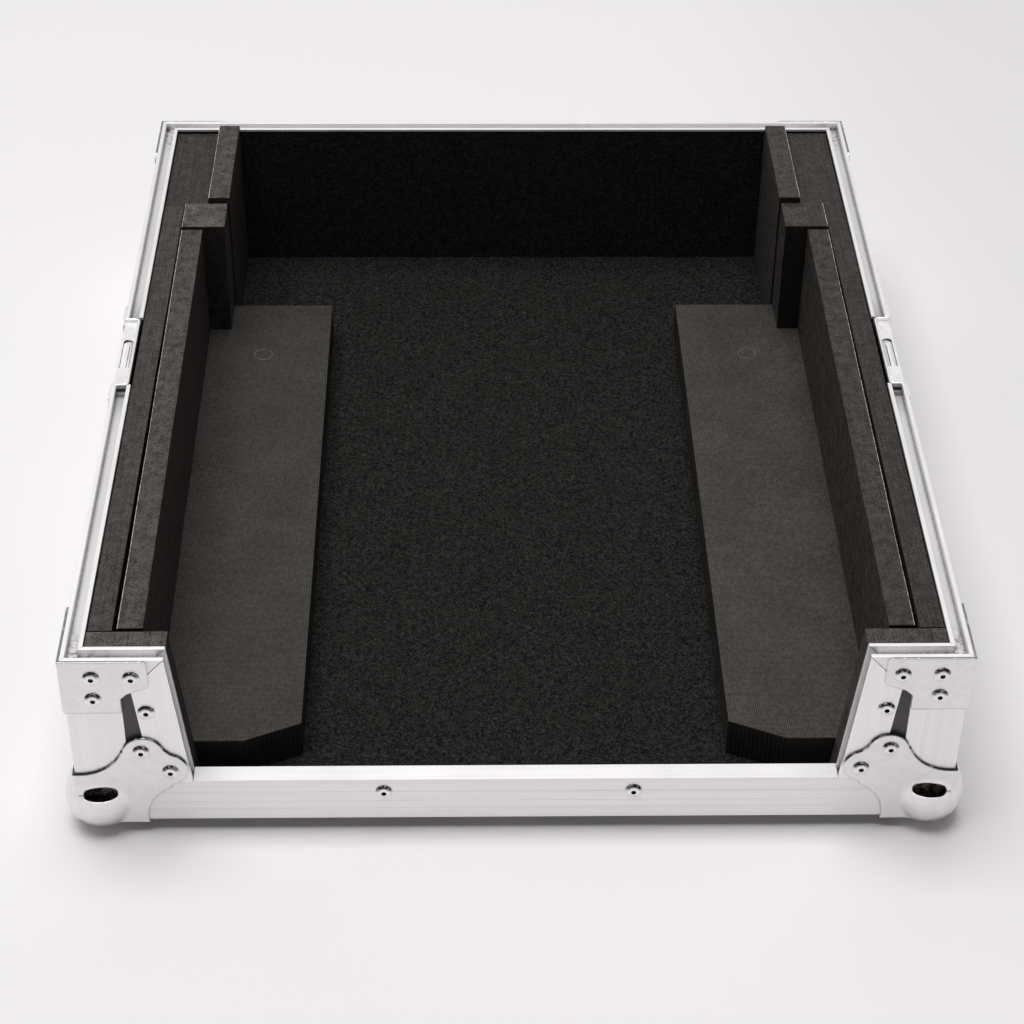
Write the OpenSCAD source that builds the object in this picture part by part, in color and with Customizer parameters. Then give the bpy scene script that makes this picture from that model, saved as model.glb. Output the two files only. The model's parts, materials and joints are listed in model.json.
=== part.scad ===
// Base half of a flight case for a club mixer, with a low front opening.
// Plywood panels are held in aluminium profiles by blind rivets, and the
// inside is lined with felt and fitted with foam blocks.
// Shell coordinates run from the left face, the front face and the underside.

/* [Case] */
// Width over the aluminium skins
case_w = 410; // [380:5:480]
// Depth over the aluminium skins, front to back
case_d = 488; // [450:2:560]
// Height from the underside of the case to the rim
case_h = 100; // [92:1:130]
// Thickness of the plywood panels
panel_t = 7; // [6.4:0.1:8]
// Thickness of the aluminium skins
skin_t = 1.2; // [1:0.1:1.5]
// Thickness of the felt lining
felt_t = 1.2; // [0.8:0.1:1.6]
// Gap left at the ends of panels and runs of profile
fit = 0.1; // [0.05:0.01:0.15]

/* [Rim profile] */
// Height of the outer flange of the rim profile
rim_flange_h = 18; // [17.5:0.5:22]
// Depth of the groove that takes the tongue of the lid
groove_d = 4.5; // [4.2:0.1:5]
// Width of each lip beside the groove
lip_w = 2; // [1.6:0.1:2.3]
// Thickness of the inner lip where it covers the top of the lining
lip_t = 1.5; // [1.2:0.1:2.5]
// Depth of the fine flutes drawn along the profiles
flute_d = 0.15; // [0.1:0.05:0.4]
// Width of a flute
flute_w = 1; // [0.6:0.1:1.4]

/* [Front opening] */
// Width of a front cheek at the rim
cheek_top_w = 46.5; // [44:0.5:50]
// Width of a front cheek at the sill
cheek_foot_w = 54.2; // [52:0.1:56]
// Height of the sill below the opening
sill_h = 25; // [24:0.5:30]
// Height of the inner leg of the sill cap
cap_leg_h = 8; // [6:0.5:10]

/* [Edge profiles] */
// Width of each flange of an edge angle
edge_w = 25.5; // [24:0.5:28]

/* [Corner hardware] */
// Radius of the ball on each lower corner
ball_r = 17.5; // [16:0.5:19]
// How far the centre of a ball lies inside the three faces
ball_inset = 10; // [9:0.5:11]
// Thickness of the pressed steel corner plates
plate_t = 1.4; // [1.2:0.1:1.6]
// Reach of a ball plate along a case edge
ball_reach = 45; // [43:0.5:46]
// Radius of the lobes round the rivets of a ball plate
lobe_r = 9.8; // [9:0.1:10.5]
// Radius of the hollow sides of a ball plate
hollow_r = 22; // [20:0.5:24]
// Half length of the slot pressed through each ball
slot_half_l = 7.8; // [7:0.2:8.2]
// Half width of the slot pressed through each ball
slot_half_w = 3.3; // [2.6:0.1:3.6]
// Length of the upper arm of a corner brace
brace_arm_l = 38.8; // [37:0.2:40]
// Height of the upper arm of a corner brace, next to its leg
brace_arm_h = 19.6; // [18:0.2:21]
// Height of the upper arm of a corner brace, at its end
brace_end_h = 15.6; // [14.6:0.2:17]
// Height of a corner brace
brace_h = 31; // [28:0.2:33]

/* [Rivets] */
// Diameter of a rivet head
rivet_head = 8; // [7:0.2:9]
// Height of a rivet head
rivet_head_h = 1.6; // [1.2:0.1:2]
// Diameter of a rivet body
rivet_body = 4; // [3.2:0.1:4.8]
// Diameter of the hollow left by the mandrel
rivet_hollow = 2.4; // [1.8:0.1:2.8]
// Radial clearance of a rivet in its hole
rivet_gap = 0.1; // [0.05:0.01:0.2]

/* [Latch] */
// Length of the gap cut in the rim for each latch dish
latch_gap = 62; // [58:1:66]
// Length of the flange of a latch dish
dish_flange_l = 85; // [82:1:90]
// Height of the flange of a latch dish
dish_flange_h = 55; // [52:1:58]
// Height of the pocket of a latch dish
dish_pocket_h = 45; // [42:1:48]
// Thickness of the pressed steel of a latch dish
dish_t = 1.2; // [1:0.1:1.5]
// Thickness of the latch keeper plate
keeper_t = 1.5; // [1.2:0.1:1.8]
// Drop of the keeper below the rim
keeper_drop = 2; // [1.5:0.1:3]
// Length of the two slots beside the hook bar of a keeper
keeper_slot_l = 26; // [24:1:30]
// Height of the upright leg of a keeper
keeper_leg_h = 28; // [24:1:32]

/* [Foam] */
// Thickness of the outer side strips
strip_t = 11.6; // [10:0.1:13]
// Drop of the outer side strips below the rim
strip_drop = 1.8; // [1:0.1:4]
// Thickness of the front blocks behind the cheeks
front_t = 11.6; // [10:0.1:13]
// Drop of the front blocks below the rim
front_drop = 1; // [0.5:0.1:3]
// Thickness of the loose inner side pads
pad_t = 12.2; // [10:0.1:13]
// Gap between an inner pad and its outer strip at the front
pad_gap_front = 1.8; // [1:0.1:3]
// Gap between an inner pad and its outer strip at the back
pad_gap_back = 0.3; // [0.3:0.1:1]
// Gap between a front block and the end of the loose pad
pad_end_gap = 2.5; // [0.3:0.1:3]
// Gap between a front block and the end of the outer strip
strip_end_gap = 1.2; // [0.1:0.1:2]
// Drop of the inner side pads below the rim
pad_drop = 1.5; // [1:0.1:4]
// Width of the loose corner posts
post_w = 24.5; // [22:0.5:26]
// Depth of the loose corner posts
post_d = 26; // [24:0.5:30]
// How far the loose corner posts stand above the rim
post_rise = 0; // [0:0.5:2]
// Distance from the front face to the back of the posts
post_back = 393.4; // [380:0.2:396]
// Width of the outer rear blocks
block_w = 24.8; // [22:0.1:26]
// Drop of the outer rear blocks below the rim
block_drop = 2.5; // [1:0.1:4]
// Thickness of the loose rear strips
rear_t = 12.3; // [11:0.1:13]
// How far the loose rear strips stand above the rim
rear_rise = 3; // [0:0.5:5]
// Thickness of the risers that carry the mixer
riser_t = 20.6; // [16:0.1:24]
// Clear width between the two risers
riser_span = 203; // [180:1:210]
// Length of the chamfer on each riser along the front
riser_cut_w = 27; // [20:1:30]
// Depth of the chamfer on each riser
riser_cut_d = 12; // [8:1:14]
// Clearance round each loose foam piece
loose = 0.3; // [0.3:0.05:0.4]

/* [Hidden] */
$fn = 64;
rim_w = panel_t + 2 * skin_t;
rim_drop = groove_d + skin_t;
wall_in = skin_t + panel_t;
lining_in = wall_in + felt_t;
floor_z = wall_in + felt_t;
lining_top = case_h - lip_t - fit;
base_z = ball_r - ball_inset;
slant = atan((cheek_foot_w - cheek_top_w) / (case_h - sill_h));
slant_l = (case_h - sill_h) / cos(slant);
foot_z = sill_h - skin_t;
latch_y = case_d / 2;
foam_in = lining_in + fit;
foam_floor = floor_z + fit;
strip_in = foam_in + strip_t;
front_back = foam_in + front_t;
riser_in = (case_w - riser_span) / 2;
riser_top = foam_floor + riser_t;
post_front = post_back - post_d;
rear_y0 = post_back + loose;
rear_y1 = case_d - lining_in - fit;
flute_rows = [6.8, 11.5, 17.5];
rim_flute_rows = [9.5, 14.5];
// Size of the cutting blocks that trim the profiles
far = 700;
// Overshoot of a cut past the face that it leaves
past = 1;

// Rivets on the lobes of a ball plate, from the case corner
ball_rivets = [[32.1, 44.7], [44.7, 32.1]];
// Rivets of a corner brace, in from the edge and down from the rim
brace_rivets = [[13.6, 9.6], [31.4, 9.8], [13.3, 22.5]];
// Rivet on the slanted flange, in from the side and up from the underside
slant_rivet = [36.3, 68.3];
// Rivets of the sill, left and right of the middle
sill_rivets = [-62, 55];
sill_rivet_z = 17;
// Rivets of the rim flange lie this far below the rim
rim_rivet_drop = 12;
// Rivets of the edge angles lie this far from the case edge
edge_rivet_in = 14;
// Rivets along the side and the back, as parts of the length
side_parts = [0.25, 0.75];
back_parts = [0.27, 0.5, 0.73];
edge_parts = [0.27, 0.5, 0.73];
// Rivets of a latch dish, from the middle of its flange
dish_rivet_x = (latch_gap + dish_flange_l) / 4;
dish_rivet_rows = [rim_rivet_drop, 44];
keeper_rivet_x = 16;
keeper_rivet_row = 21;

// Centre of a lobe of a ball plate, from its rivet
lobe_shift = [0.8, -1.4];
// How far the hollow sides of a ball plate bite into the lobes, and how far past the lobes the
// centres of the upper and of the lower hollow lie
hollow_bite = 0.7;
hollow_rise = 8.9;
hollow_run = 11.2;
// Turn from level at which the straight edge between the lobes leaves the first of them
lobe_link_turn = 15;
// Length of the round tip where the three plates meet, and how far it stands out of the ball
tip_l = 5;
tip_rise = 0.3;
// Turns that aim the slot of a ball, tilted from upright and then swung round
ball_slot_aim = [55, 0, 6];
// The long sides of the slot would meet this far from its middle
slot_meet = 11;
// Pressed plates stop this far below the rim
plate_top_gap = 0.4;
// Cut corner at the end of the upper arm of a brace, along and down
brace_chamfer = [2, 3];
// Cut corner between the arm and the leg of a brace
brace_notch = 3.2;
// Metal left beside the slots of a keeper, at its outer edge and at its leg
keeper_edge = 1.2;
keeper_wall = 0.6;
// How far the leg of a keeper stops short of the ends of its plate
keeper_leg_in = 6;
// Solid end of a rivet behind its hollow
rivet_end = 2;
// Radii of the crown and of the rolled edge of a rivet head
crown_r = 10;
rivet_roll = 1.2;
// Gap in the mitre of a cheek and its slanted edge
mitre_gap = 0.3;

// Placing

// Moves a shape from shell coordinates to the frame of the part.
module in_case() {
    translate([-case_w / 2, -case_d / 2, base_z]) children();
}

// Mirrors a shape of the left side to the right side.
module on_right() {
    mirror([1, 0, 0]) children();
}

// Mirrors a shape of the front to the back.
module on_back() {
    mirror([0, 1, 0]) children();
}

// Stands a front view outline up as a slab from depth y0 to depth y1.
module front_slab(y0, y1) {
    translate([0, y1, 0]) rotate([90, 0, 0]) linear_extrude(y1 - y0) children();
}

// Stands a side view outline, depth by height, as a slab from x0 to x1.
module side_slab(x0, x1) {
    translate([x0, 0, 0]) rotate([90, 0, 90]) linear_extrude(x1 - x0) children();
}

// A box given by its low and high corners.
module block(low, high) {
    translate(low) cube(high - low);
}

// Rivets and their holes

// One blind rivet along +Z, its head seated at z = 0 and its body below.
module rivet(length) {
    roll_x = rivet_head / 2 - rivet_roll;
    crown_low = rivet_head_h - crown_r;
    roll_y = crown_low + sqrt(pow(crown_r - rivet_roll, 2) - pow(roll_x, 2));
    rotate_extrude() difference() {
        union() {
            translate([0, -length]) square([rivet_body / 2, length]);
            // A shallow crown runs smoothly into the rolled edge.
            intersection() {
                translate([0, crown_low]) circle(crown_r);
                square([roll_x * crown_r / (crown_r - rivet_roll), rivet_head_h]);
            }
            intersection() {
                translate([roll_x, roll_y]) circle(rivet_roll);
                square([rivet_head / 2, rivet_head_h]);
            }
        }
        translate([-rivet_hollow / 2, rivet_end - length]) square([rivet_hollow, length + rivet_head_h]);
    }
}

// The hole for one rivet, through everything at that place.
module rivet_hole() {
    r = rivet_body / 2 + rivet_gap;
    translate([0, 0, -wall_in - past]) cylinder(h = wall_in + plate_t + 2 * past, r = r);
}

// A rivet whose head sits the given height above the outer face of the case.
module seated_rivet(seat) {
    translate([0, 0, seat]) rivet(seat + wall_in - 2 * fit);
}

// Places things on the front face, pointing out of it.
module at_front(x, z) {
    translate([x, 0, z]) rotate([90, 0, 0]) children();
}

// Places things on the left face, pointing out of it.
module at_left(y, z) {
    translate([0, y, z]) rotate([0, -90, 0]) children();
}

// Places things on the underside, pointing out of it.
module at_bottom(x, y) {
    translate([x, y, 0]) rotate([180, 0, 0]) children();
}

// Holes of one lower corner and its brace, on all three faces.
module corner_holes() {
    for (p = ball_rivets) {
        at_front(p[0], p[1]) rivet_hole();
        at_left(p[0], p[1]) rivet_hole();
        at_bottom(p[0], p[1]) rivet_hole();
    }
    for (p = brace_rivets) {
        at_front(p[0], case_h - p[1]) rivet_hole();
        at_left(p[0], case_h - p[1]) rivet_hole();
    }
}

// Holes for the rivets of a latch dish in the rim and in the panel.
module dish_holes() {
    for (side = [-1, 1], row = dish_rivet_rows) {
        at_left(latch_y + side * dish_rivet_x, case_h - row) rivet_hole();
    }
}

// Holes on the left half of the front.
module front_holes() {
    corner_holes();
    at_front(slant_rivet[0], slant_rivet[1]) rivet_hole();
}

// Holes along the left side, front and back.
module left_holes() {
    corner_holes();
    translate([0, case_d, 0]) on_back() corner_holes();
    dish_holes();
    for (part = side_parts) at_left(case_d * part, case_h - rim_rivet_drop) rivet_hole();
    for (part = edge_parts) at_left(case_d * part, edge_rivet_in) rivet_hole();
}

// Holes along the back, seen as if it were a front.
module back_holes() {
    corner_holes();
    translate([case_w, 0, 0]) on_right() corner_holes();
    for (part = back_parts) at_front(case_w * part, case_h - rim_rivet_drop) rivet_hole();
    for (part = edge_parts) at_front(case_w * part, edge_rivet_in) rivet_hole();
}

// Holes through the two rivets in the middle of the sill.
module sill_holes() {
    for (x = sill_rivets) at_front(case_w / 2 + x, sill_rivet_z) rivet_hole();
}

// Holes in the underside.
module bottom_holes() {
    for (i = [0, 1], j = [0, 1]) {
        translate([i * case_w, j * case_d, 0]) mirror([i, 0, 0]) mirror([0, j, 0]) {
            for (p = ball_rivets) at_bottom(p[0], p[1]) rivet_hole();
        }
    }
    for (part = edge_parts, i = [0, 1]) {
        at_bottom(case_w * part, i * case_d + (1 - 2 * i) * edge_rivet_in) rivet_hole();
        at_bottom(i * case_w + (1 - 2 * i) * edge_rivet_in, case_d * part) rivet_hole();
    }
}

// Profiles

// Section of the rim profile: inward by height, with the lip tops at zero.
module rim_section() {
    difference() {
        union() {
            translate([0, -rim_flange_h]) square([skin_t, rim_flange_h]);
            translate([0, -rim_drop]) square([rim_w, rim_drop]);
        }
        translate([lip_w, -groove_d]) square([rim_w - 2 * lip_w, groove_d + past]);
        // The lining reaches up into this rebate, to the underside of the inner lip.
        translate([wall_in, -rim_drop - past]) square([skin_t + past, rim_drop + past - lip_t]);
        for (v = rim_flute_rows) {
            translate([-flute_d, -v - flute_w / 2]) square([2 * flute_d, flute_w]);
        }
    }
}

// A run of rim profile along +X, its outer face at y = 0.
module rim_bar(length) {
    rotate([90, 0, 90]) linear_extrude(length) rim_section();
}

// Section of an edge angle with its outer corner at zero.
module angle_section(flange_a, flange_b) {
    difference() {
        union() {
            square([flange_a, skin_t]);
            square([skin_t, flange_b]);
        }
        for (v = flute_rows) {
            translate([v - flute_w / 2, -flute_d]) square([flute_w, 2 * flute_d]);
            translate([-flute_d, v - flute_w / 2]) square([2 * flute_d, flute_w]);
        }
    }
}

// Plan outline that mitres both ends of a run along the front face.
module mitred_strip(length, reach) {
    polygon([[fit, 0], [length - fit, 0], [length - reach - fit, reach], [reach + fit, reach]]);
}

// Front view half planes on each side of the joint of cheek and slanted rim.
module joint_side(below) {
    shift = below ? -far - mitre_gap / 2 : mitre_gap / 2;
    translate([cheek_top_w, case_h]) rotate(45 + slant / 2) {
        translate([-far / 2, shift]) square([far, far]);
    }
}

// Distance from the left face to the slanted edge at a height.
function slant_x(z) = cheek_top_w + (case_h - z) * tan(slant);

// Rim pieces

module rim_cheek() {
    difference() {
        intersection() {
            translate([0, 0, case_h]) rim_bar(cheek_top_w + rim_flange_h);
            front_slab(-past, rim_w + past) joint_side(false);
            linear_extrude(case_h + past) {
                polygon([[fit, 0], [far, 0], [far, rim_w], [rim_w + fit, rim_w]]);
            }
        }
        front_holes();
    }
}

module slant_edge() {
    difference() {
        intersection() {
            translate([cheek_top_w, 0, case_h]) rotate([0, 90 - slant, 0]) {
                translate([-rim_flange_h, 0, 0]) rim_bar(slant_l + 2 * rim_flange_h);
            }
            front_slab(-past, rim_w + past) joint_side(true);
            block([0, -past, foot_z], [case_w, rim_w + past, case_h + past]);
        }
        front_holes();
    }
}

// One run of the left rim between two depths.
module rim_side(y0, y1) {
    translate([0, y0, case_h]) mirror([1, -1, 0]) rim_bar(y1 - y0);
}

module rim_side_front() {
    difference() {
        intersection() {
            rim_side(0, latch_y - latch_gap / 2);
            linear_extrude(case_h + past) {
                polygon([[0, fit], [rim_w, rim_w + fit], [rim_w, far], [0, far]]);
            }
        }
        left_holes();
    }
}

module rim_side_rear() {
    difference() {
        intersection() {
            rim_side(latch_y + latch_gap / 2, case_d);
            linear_extrude(case_h + past) {
                polygon([[0, 0], [rim_w, 0], [rim_w, case_d - rim_w - fit], [0, case_d - fit]]);
            }
        }
        left_holes();
    }
}

// The back rim, drawn as a front.
module rim_rear() {
    difference() {
        intersection() {
            translate([0, 0, case_h]) rim_bar(case_w);
            linear_extrude(case_h + past) mitred_strip(case_w, rim_w);
        }
        back_holes();
    }
}

module sill_strip() {
    x0 = slant_x(foot_z) + fit;
    difference() {
        union() {
            block([x0, 0, foot_z], [case_w - x0, rim_w, sill_h]);
            block([x0, wall_in, sill_h - cap_leg_h], [case_w - x0, rim_w, sill_h]);
        }
        sill_holes();
    }
}

// Edge angles

// A run of edge angle along the bottom front edge, mitred at both ends.
module bottom_run(length, height) {
    intersection() {
        rotate([90, 0, 90]) linear_extrude(length) angle_section(edge_w, height);
        linear_extrude(height) mitred_strip(length, edge_w);
    }
}

module front_bottom_run() {
    difference() {
        bottom_run(case_w, foot_z);
        front_holes();
        translate([case_w, 0, 0]) on_right() front_holes();
        sill_holes();
        bottom_holes();
    }
}

module back_bottom_run() {
    difference() {
        bottom_run(case_w, edge_w);
        back_holes();
        bottom_holes();
    }
}

module side_bottom_run() {
    difference() {
        mirror([1, -1, 0]) bottom_run(case_d, edge_w);
        left_holes();
        bottom_holes();
    }
}

// An upright edge angle at the front left corner.
module corner_run() {
    z0 = max(edge_w, sill_h) + fit;
    z1 = case_h - rim_flange_h - fit;
    difference() {
        translate([0, 0, z0]) linear_extrude(z1 - z0) angle_section(edge_w, edge_w);
        corner_holes();
    }
}

// Corner hardware

// Outline of one plate of a ball corner, from the case corner.
module ball_plate_outline() {
    lobe_c = ball_rivets[0] + lobe_shift;
    hollow_in = lobe_c[0] - lobe_r - hollow_r + hollow_bite;
    link = lobe_c + lobe_r * [cos(lobe_link_turn), sin(lobe_link_turn)];
    difference() {
        polygon([
            [-plate_t, -plate_t],
            [ball_reach, -plate_t],
            [ball_reach, lobe_c[0]],
            [lobe_c[0], ball_reach],
            [-plate_t, ball_reach]
        ]);
        translate([hollow_in, lobe_c[1] + hollow_rise]) circle(hollow_r);
        translate([lobe_c[1] + hollow_run, hollow_in]) circle(hollow_r);
    }
    translate(lobe_c) circle(lobe_r);
    translate([lobe_c[1], lobe_c[0]]) circle(lobe_r);
    polygon([lobe_c, link, [link[1], link[0]], [lobe_c[1], lobe_c[0]]]);
}

// The same plate laid on the front, on the left and on the underside.
module ball_plates() {
    front_slab(-plate_t, 0) ball_plate_outline();
    side_slab(-plate_t, 0) ball_plate_outline();
    translate([0, 0, -plate_t]) linear_extrude(plate_t) ball_plate_outline();
}

// Cutter that rounds the tip where the three plates meet.
module plate_tip(centre) {
    difference() {
        block([-2 * plate_t, -2 * plate_t, -2 * plate_t], [tip_l, tip_l, tip_l]);
        translate(centre) sphere(ball_r + tip_rise);
    }
}

// Cutter for the slot that opens a ball towards the front, or on the back corners towards the back.
module ball_slot() {
    r = (pow(slot_meet, 2) + pow(slot_half_w, 2)) / (2 * slot_half_w);
    rotate(ball_slot_aim) intersection() {
        translate([0, r - slot_half_w, 0]) cylinder(h = 2 * ball_r, r = r);
        translate([0, slot_half_w - r, 0]) cylinder(h = 2 * ball_r, r = r);
        cylinder(h = 2 * ball_r, r = slot_half_l);
    }
}

module ball_corner() {
    centre = [ball_inset, ball_inset, ball_inset];
    difference() {
        union() {
            ball_plates();
            translate(centre) sphere(ball_r);
        }
        cube(3 * ball_reach);
        plate_tip(centre);
        translate(centre) {
            sphere(ball_r - plate_t);
            ball_slot();
        }
        corner_holes();
    }
}

// Outline of one side of a corner brace, in from the edge and up.
module brace_outline() {
    top = case_h - plate_top_gap;
    polygon([
        [-plate_t, top],
        [brace_arm_l - brace_chamfer[0], top],
        [brace_arm_l, top - brace_chamfer[1]],
        [brace_arm_l, case_h - brace_end_h],
        [edge_w + brace_notch, case_h - brace_arm_h],
        [edge_w, case_h - brace_arm_h - brace_notch],
        [edge_w, case_h - brace_h],
        [-plate_t, case_h - brace_h]
    ]);
}

module corner_brace() {
    difference() {
        union() {
            front_slab(-plate_t, 0) brace_outline();
            side_slab(-plate_t, 0) brace_outline();
        }
        corner_holes();
    }
}

// Latch parts on the left side

module latch_dish() {
    half = latch_gap / 2 - fit;
    flange = dish_flange_l / 2;
    top = case_h - plate_top_gap;
    difference() {
        union() {
            block(
                [-dish_t, latch_y - flange, case_h - dish_flange_h],
                [0, latch_y + flange, top]
            );
            block([-dish_t, latch_y - half, case_h - dish_pocket_h], [wall_in, latch_y + half, top]);
        }
        block(
            [-dish_t - past, latch_y - half + dish_t, case_h - dish_pocket_h + dish_t],
            [wall_in - dish_t, latch_y + half - dish_t, case_h + past]
        );
        dish_holes();
        keeper_holes();
    }
}

// Holes for the two rivets that hold the keeper to its dish.
module keeper_holes() {
    for (side = [-1, 1]) at_left(latch_y + side * keeper_rivet_x, case_h - keeper_rivet_row) rivet_hole();
}

// Horseshoe slot of the keeper with the hook bar left in it.
module keeper_slot(x0, x1) {
    y0 = latch_y - keeper_slot_l / 2;
    mid = (x0 + x1) / 2;
    r = (x1 - x0) / 2;
    bar_r = r / 3;
    difference() {
        union() {
            translate([x0, y0]) square([x1 - x0, keeper_slot_l - r]);
            translate([mid, y0 + keeper_slot_l - r]) circle(r);
        }
        translate([mid - bar_r, y0 - past]) square([2 * bar_r, keeper_slot_l - 2 * r + past]);
        translate([mid, y0 + keeper_slot_l - 2 * r]) circle(bar_r);
    }
}

module latch_keeper() {
    half = latch_gap / 2 - dish_t - 2 * fit;
    leg = half - keeper_leg_in;
    x1 = wall_in - dish_t - fit;
    top = case_h - keeper_drop;
    difference() {
        union() {
            block([0, latch_y - half, top - keeper_t], [x1, latch_y + half, top]);
            block([x1 - keeper_t, latch_y - leg, top - keeper_leg_h], [x1, latch_y + leg, top]);
        }
        translate([0, 0, top - keeper_t - past]) linear_extrude(keeper_t + 2 * past) {
            keeper_slot(keeper_edge, x1 - keeper_wall);
        }
        keeper_holes();
    }
}

// Panels

module floor_board() {
    difference() {
        block([skin_t, skin_t, skin_t], [case_w - skin_t, case_d - skin_t, wall_in]);
        bottom_holes();
    }
}

module side_board() {
    top = case_h - rim_drop - fit;
    half = latch_gap / 2;
    difference() {
        block([skin_t, skin_t, wall_in + fit], [wall_in, case_d - skin_t, top]);
        block([0, latch_y - half, case_h - dish_pocket_h - fit], [rim_w, latch_y + half, case_h]);
        left_holes();
    }
}

module rear_board() {
    x0 = wall_in + fit;
    difference() {
        block([x0, skin_t, wall_in + fit], [case_w - x0, wall_in, case_h - rim_drop - fit]);
        back_holes();
    }
}

// The front panel or its lining: two cheeks and the sill between them in one outline.
// The cheeks end the given drop below the edge of the case.
module front_sheet(x0, z0, sill_top, drop, y0, y1) {
    top = case_h - drop;
    in = drop / cos(slant);
    left = [
        [x0, z0],
        [x0, top],
        [slant_x(top) - in, top],
        [slant_x(sill_top) - in, sill_top]
    ];
    right = [for (i = [len(left) - 1 : -1 : 0]) [case_w - left[i][0], left[i][1]]];
    front_slab(y0, y1) polygon(concat(left, right));
}

module front_board() {
    difference() {
        front_sheet(wall_in + fit, wall_in + fit, foot_z - fit, rim_drop + fit, skin_t, wall_in);
        front_holes();
        translate([case_w, 0, 0]) on_right() front_holes();
        sill_holes();
    }
}

// Linings, each glued flat to its board

module side_lining() {
    half = latch_gap / 2 + fit;
    difference() {
        block([wall_in, lining_in + fit, floor_z], [lining_in, case_d - lining_in - fit, lining_top]);
        block(
            [0, latch_y - half, case_h - dish_pocket_h - 2 * fit],
            [rim_w + past, latch_y + half, case_h]
        );
    }
}

// Foam on the left side

module front_foam() {
    top = case_h - front_drop;
    front_slab(foam_in, front_back) polygon([
        [foam_in, foam_floor],
        [slant_x(foam_floor), foam_floor],
        [slant_x(top), top],
        [foam_in, top]
    ]);
}

module strip_foam() {
    block(
        [foam_in, front_back + strip_end_gap, foam_floor],
        [strip_in, post_back - fit, case_h - strip_drop]
    );
}

module pad_foam() {
    y0 = front_back + pad_end_gap;
    y1 = post_front - loose;
    x0 = strip_in + pad_gap_front;
    x1 = strip_in + pad_gap_back;
    z0 = riser_top + loose;
    translate([0, 0, z0]) linear_extrude(case_h - pad_drop - z0) {
        polygon([[x0, y0], [x0 + pad_t, y0], [x1 + pad_t, y1], [x1, y1]]);
    }
}

module post_foam() {
    x0 = strip_in + loose;
    block([x0, post_front, riser_top + loose], [x0 + post_w, post_back, case_h + post_rise]);
}

module rear_foam() {
    block([foam_in, rear_y0, foam_floor], [foam_in + block_w, rear_y1, case_h - block_drop]);
}

module rear_strip_foam() {
    x0 = foam_in + block_w + loose;
    block(
        [x0, rear_y0 + loose, foam_floor + loose],
        [x0 + rear_t, rear_y1 - loose, case_h + rear_rise]
    );
}

module riser_foam() {
    y0 = front_back + fit;
    translate([0, 0, foam_floor]) linear_extrude(riser_t) {
        polygon([
            [strip_in + fit, y0],
            [riser_in - riser_cut_w, y0],
            [riser_in, y0 + riser_cut_d],
            [riser_in, post_back],
            [strip_in + fit, post_back]
        ]);
    }
}

// Rivet groups

// Rivets of one lower corner and one brace on a single face.
module corner_rivets() {
    for (p = ball_rivets) translate([p[0], p[1], 0]) seated_rivet(plate_t);
    for (p = brace_rivets) translate([p[0], case_h - p[1], 0]) seated_rivet(plate_t);
}

// Lays a face drawn flat in width and height onto the front.
module on_front() {
    rotate([90, 0, 0]) children();
}

// Lays a face drawn flat in depth and height onto the left side.
module on_left() {
    mirror([1, -1, 0]) rotate([90, 0, 0]) children();
}

module front_rivet_set() {
    on_front() {
        for (i = [0, 1]) translate([i * case_w, 0, 0]) mirror([i, 0, 0]) {
            corner_rivets();
            translate([slant_rivet[0], slant_rivet[1], 0]) seated_rivet(0);
        }
        for (x = sill_rivets) translate([case_w / 2 + x, sill_rivet_z, 0]) seated_rivet(0);
    }
}

module back_rivet_set() {
    on_front() {
        for (i = [0, 1]) translate([i * case_w, 0, 0]) mirror([i, 0, 0]) corner_rivets();
        for (part = back_parts) {
            translate([case_w * part, case_h - rim_rivet_drop, 0]) seated_rivet(0);
        }
        for (part = edge_parts) translate([case_w * part, edge_rivet_in, 0]) seated_rivet(0);
    }
}

module side_rivet_set() {
    on_left() {
        for (i = [0, 1]) translate([i * case_d, 0, 0]) mirror([i, 0, 0]) corner_rivets();
        for (part = side_parts) {
            translate([case_d * part, case_h - rim_rivet_drop, 0]) seated_rivet(0);
        }
        for (part = edge_parts) translate([case_d * part, edge_rivet_in, 0]) seated_rivet(0);
        for (side = [-1, 1]) {
            for (row = dish_rivet_rows) {
                translate([latch_y + side * dish_rivet_x, case_h - row, 0]) seated_rivet(dish_t);
            }
            // The keeper rivets sit inside the dish, with the keeper plate under their heads.
            translate([latch_y + side * keeper_rivet_x, case_h - keeper_rivet_row, 0]) {
                translate([0, 0, keeper_t + dish_t + fit - wall_in]) rivet(keeper_t + dish_t);
            }
        }
    }
}

module bottom_rivet_set() {
    for (i = [0, 1], j = [0, 1]) {
        translate([i * case_w, j * case_d, 0]) mirror([i, 0, 0]) mirror([0, j, 0]) {
            for (p = ball_rivets) at_bottom(p[0], p[1]) seated_rivet(plate_t);
        }
    }
    for (part = edge_parts, i = [0, 1]) {
        at_bottom(case_w * part, i * case_d + (1 - 2 * i) * edge_rivet_in) seated_rivet(0);
        at_bottom(i * case_w + (1 - 2 * i) * edge_rivet_in, case_d * part) seated_rivet(0);
    }
}

// Colours

module plywood() { color([0.14, 0.14, 0.15]) in_case() children(); }
module felt() { color([0.12, 0.12, 0.12]) in_case() children(); }
module foam() { color([0.27, 0.26, 0.25]) in_case() children(); }
module aluminium() { color([0.84, 0.84, 0.85]) in_case() children(); }
module steel() { color([0.78, 0.78, 0.79]) in_case() children(); }
module rivet_metal() { color([0.88, 0.88, 0.88]) in_case() children(); }

// Pieces

module bottom_panel() { plywood() floor_board(); }
module left_panel() { plywood() side_board(); }
module right_panel() { on_right() plywood() side_board(); }
module back_panel() { on_back() plywood() rear_board(); }
module front_panel() { plywood() front_board(); }

module floor_felt() {
    felt() block([wall_in, wall_in, wall_in], [case_w - wall_in, case_d - wall_in, floor_z]);
}

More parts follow.
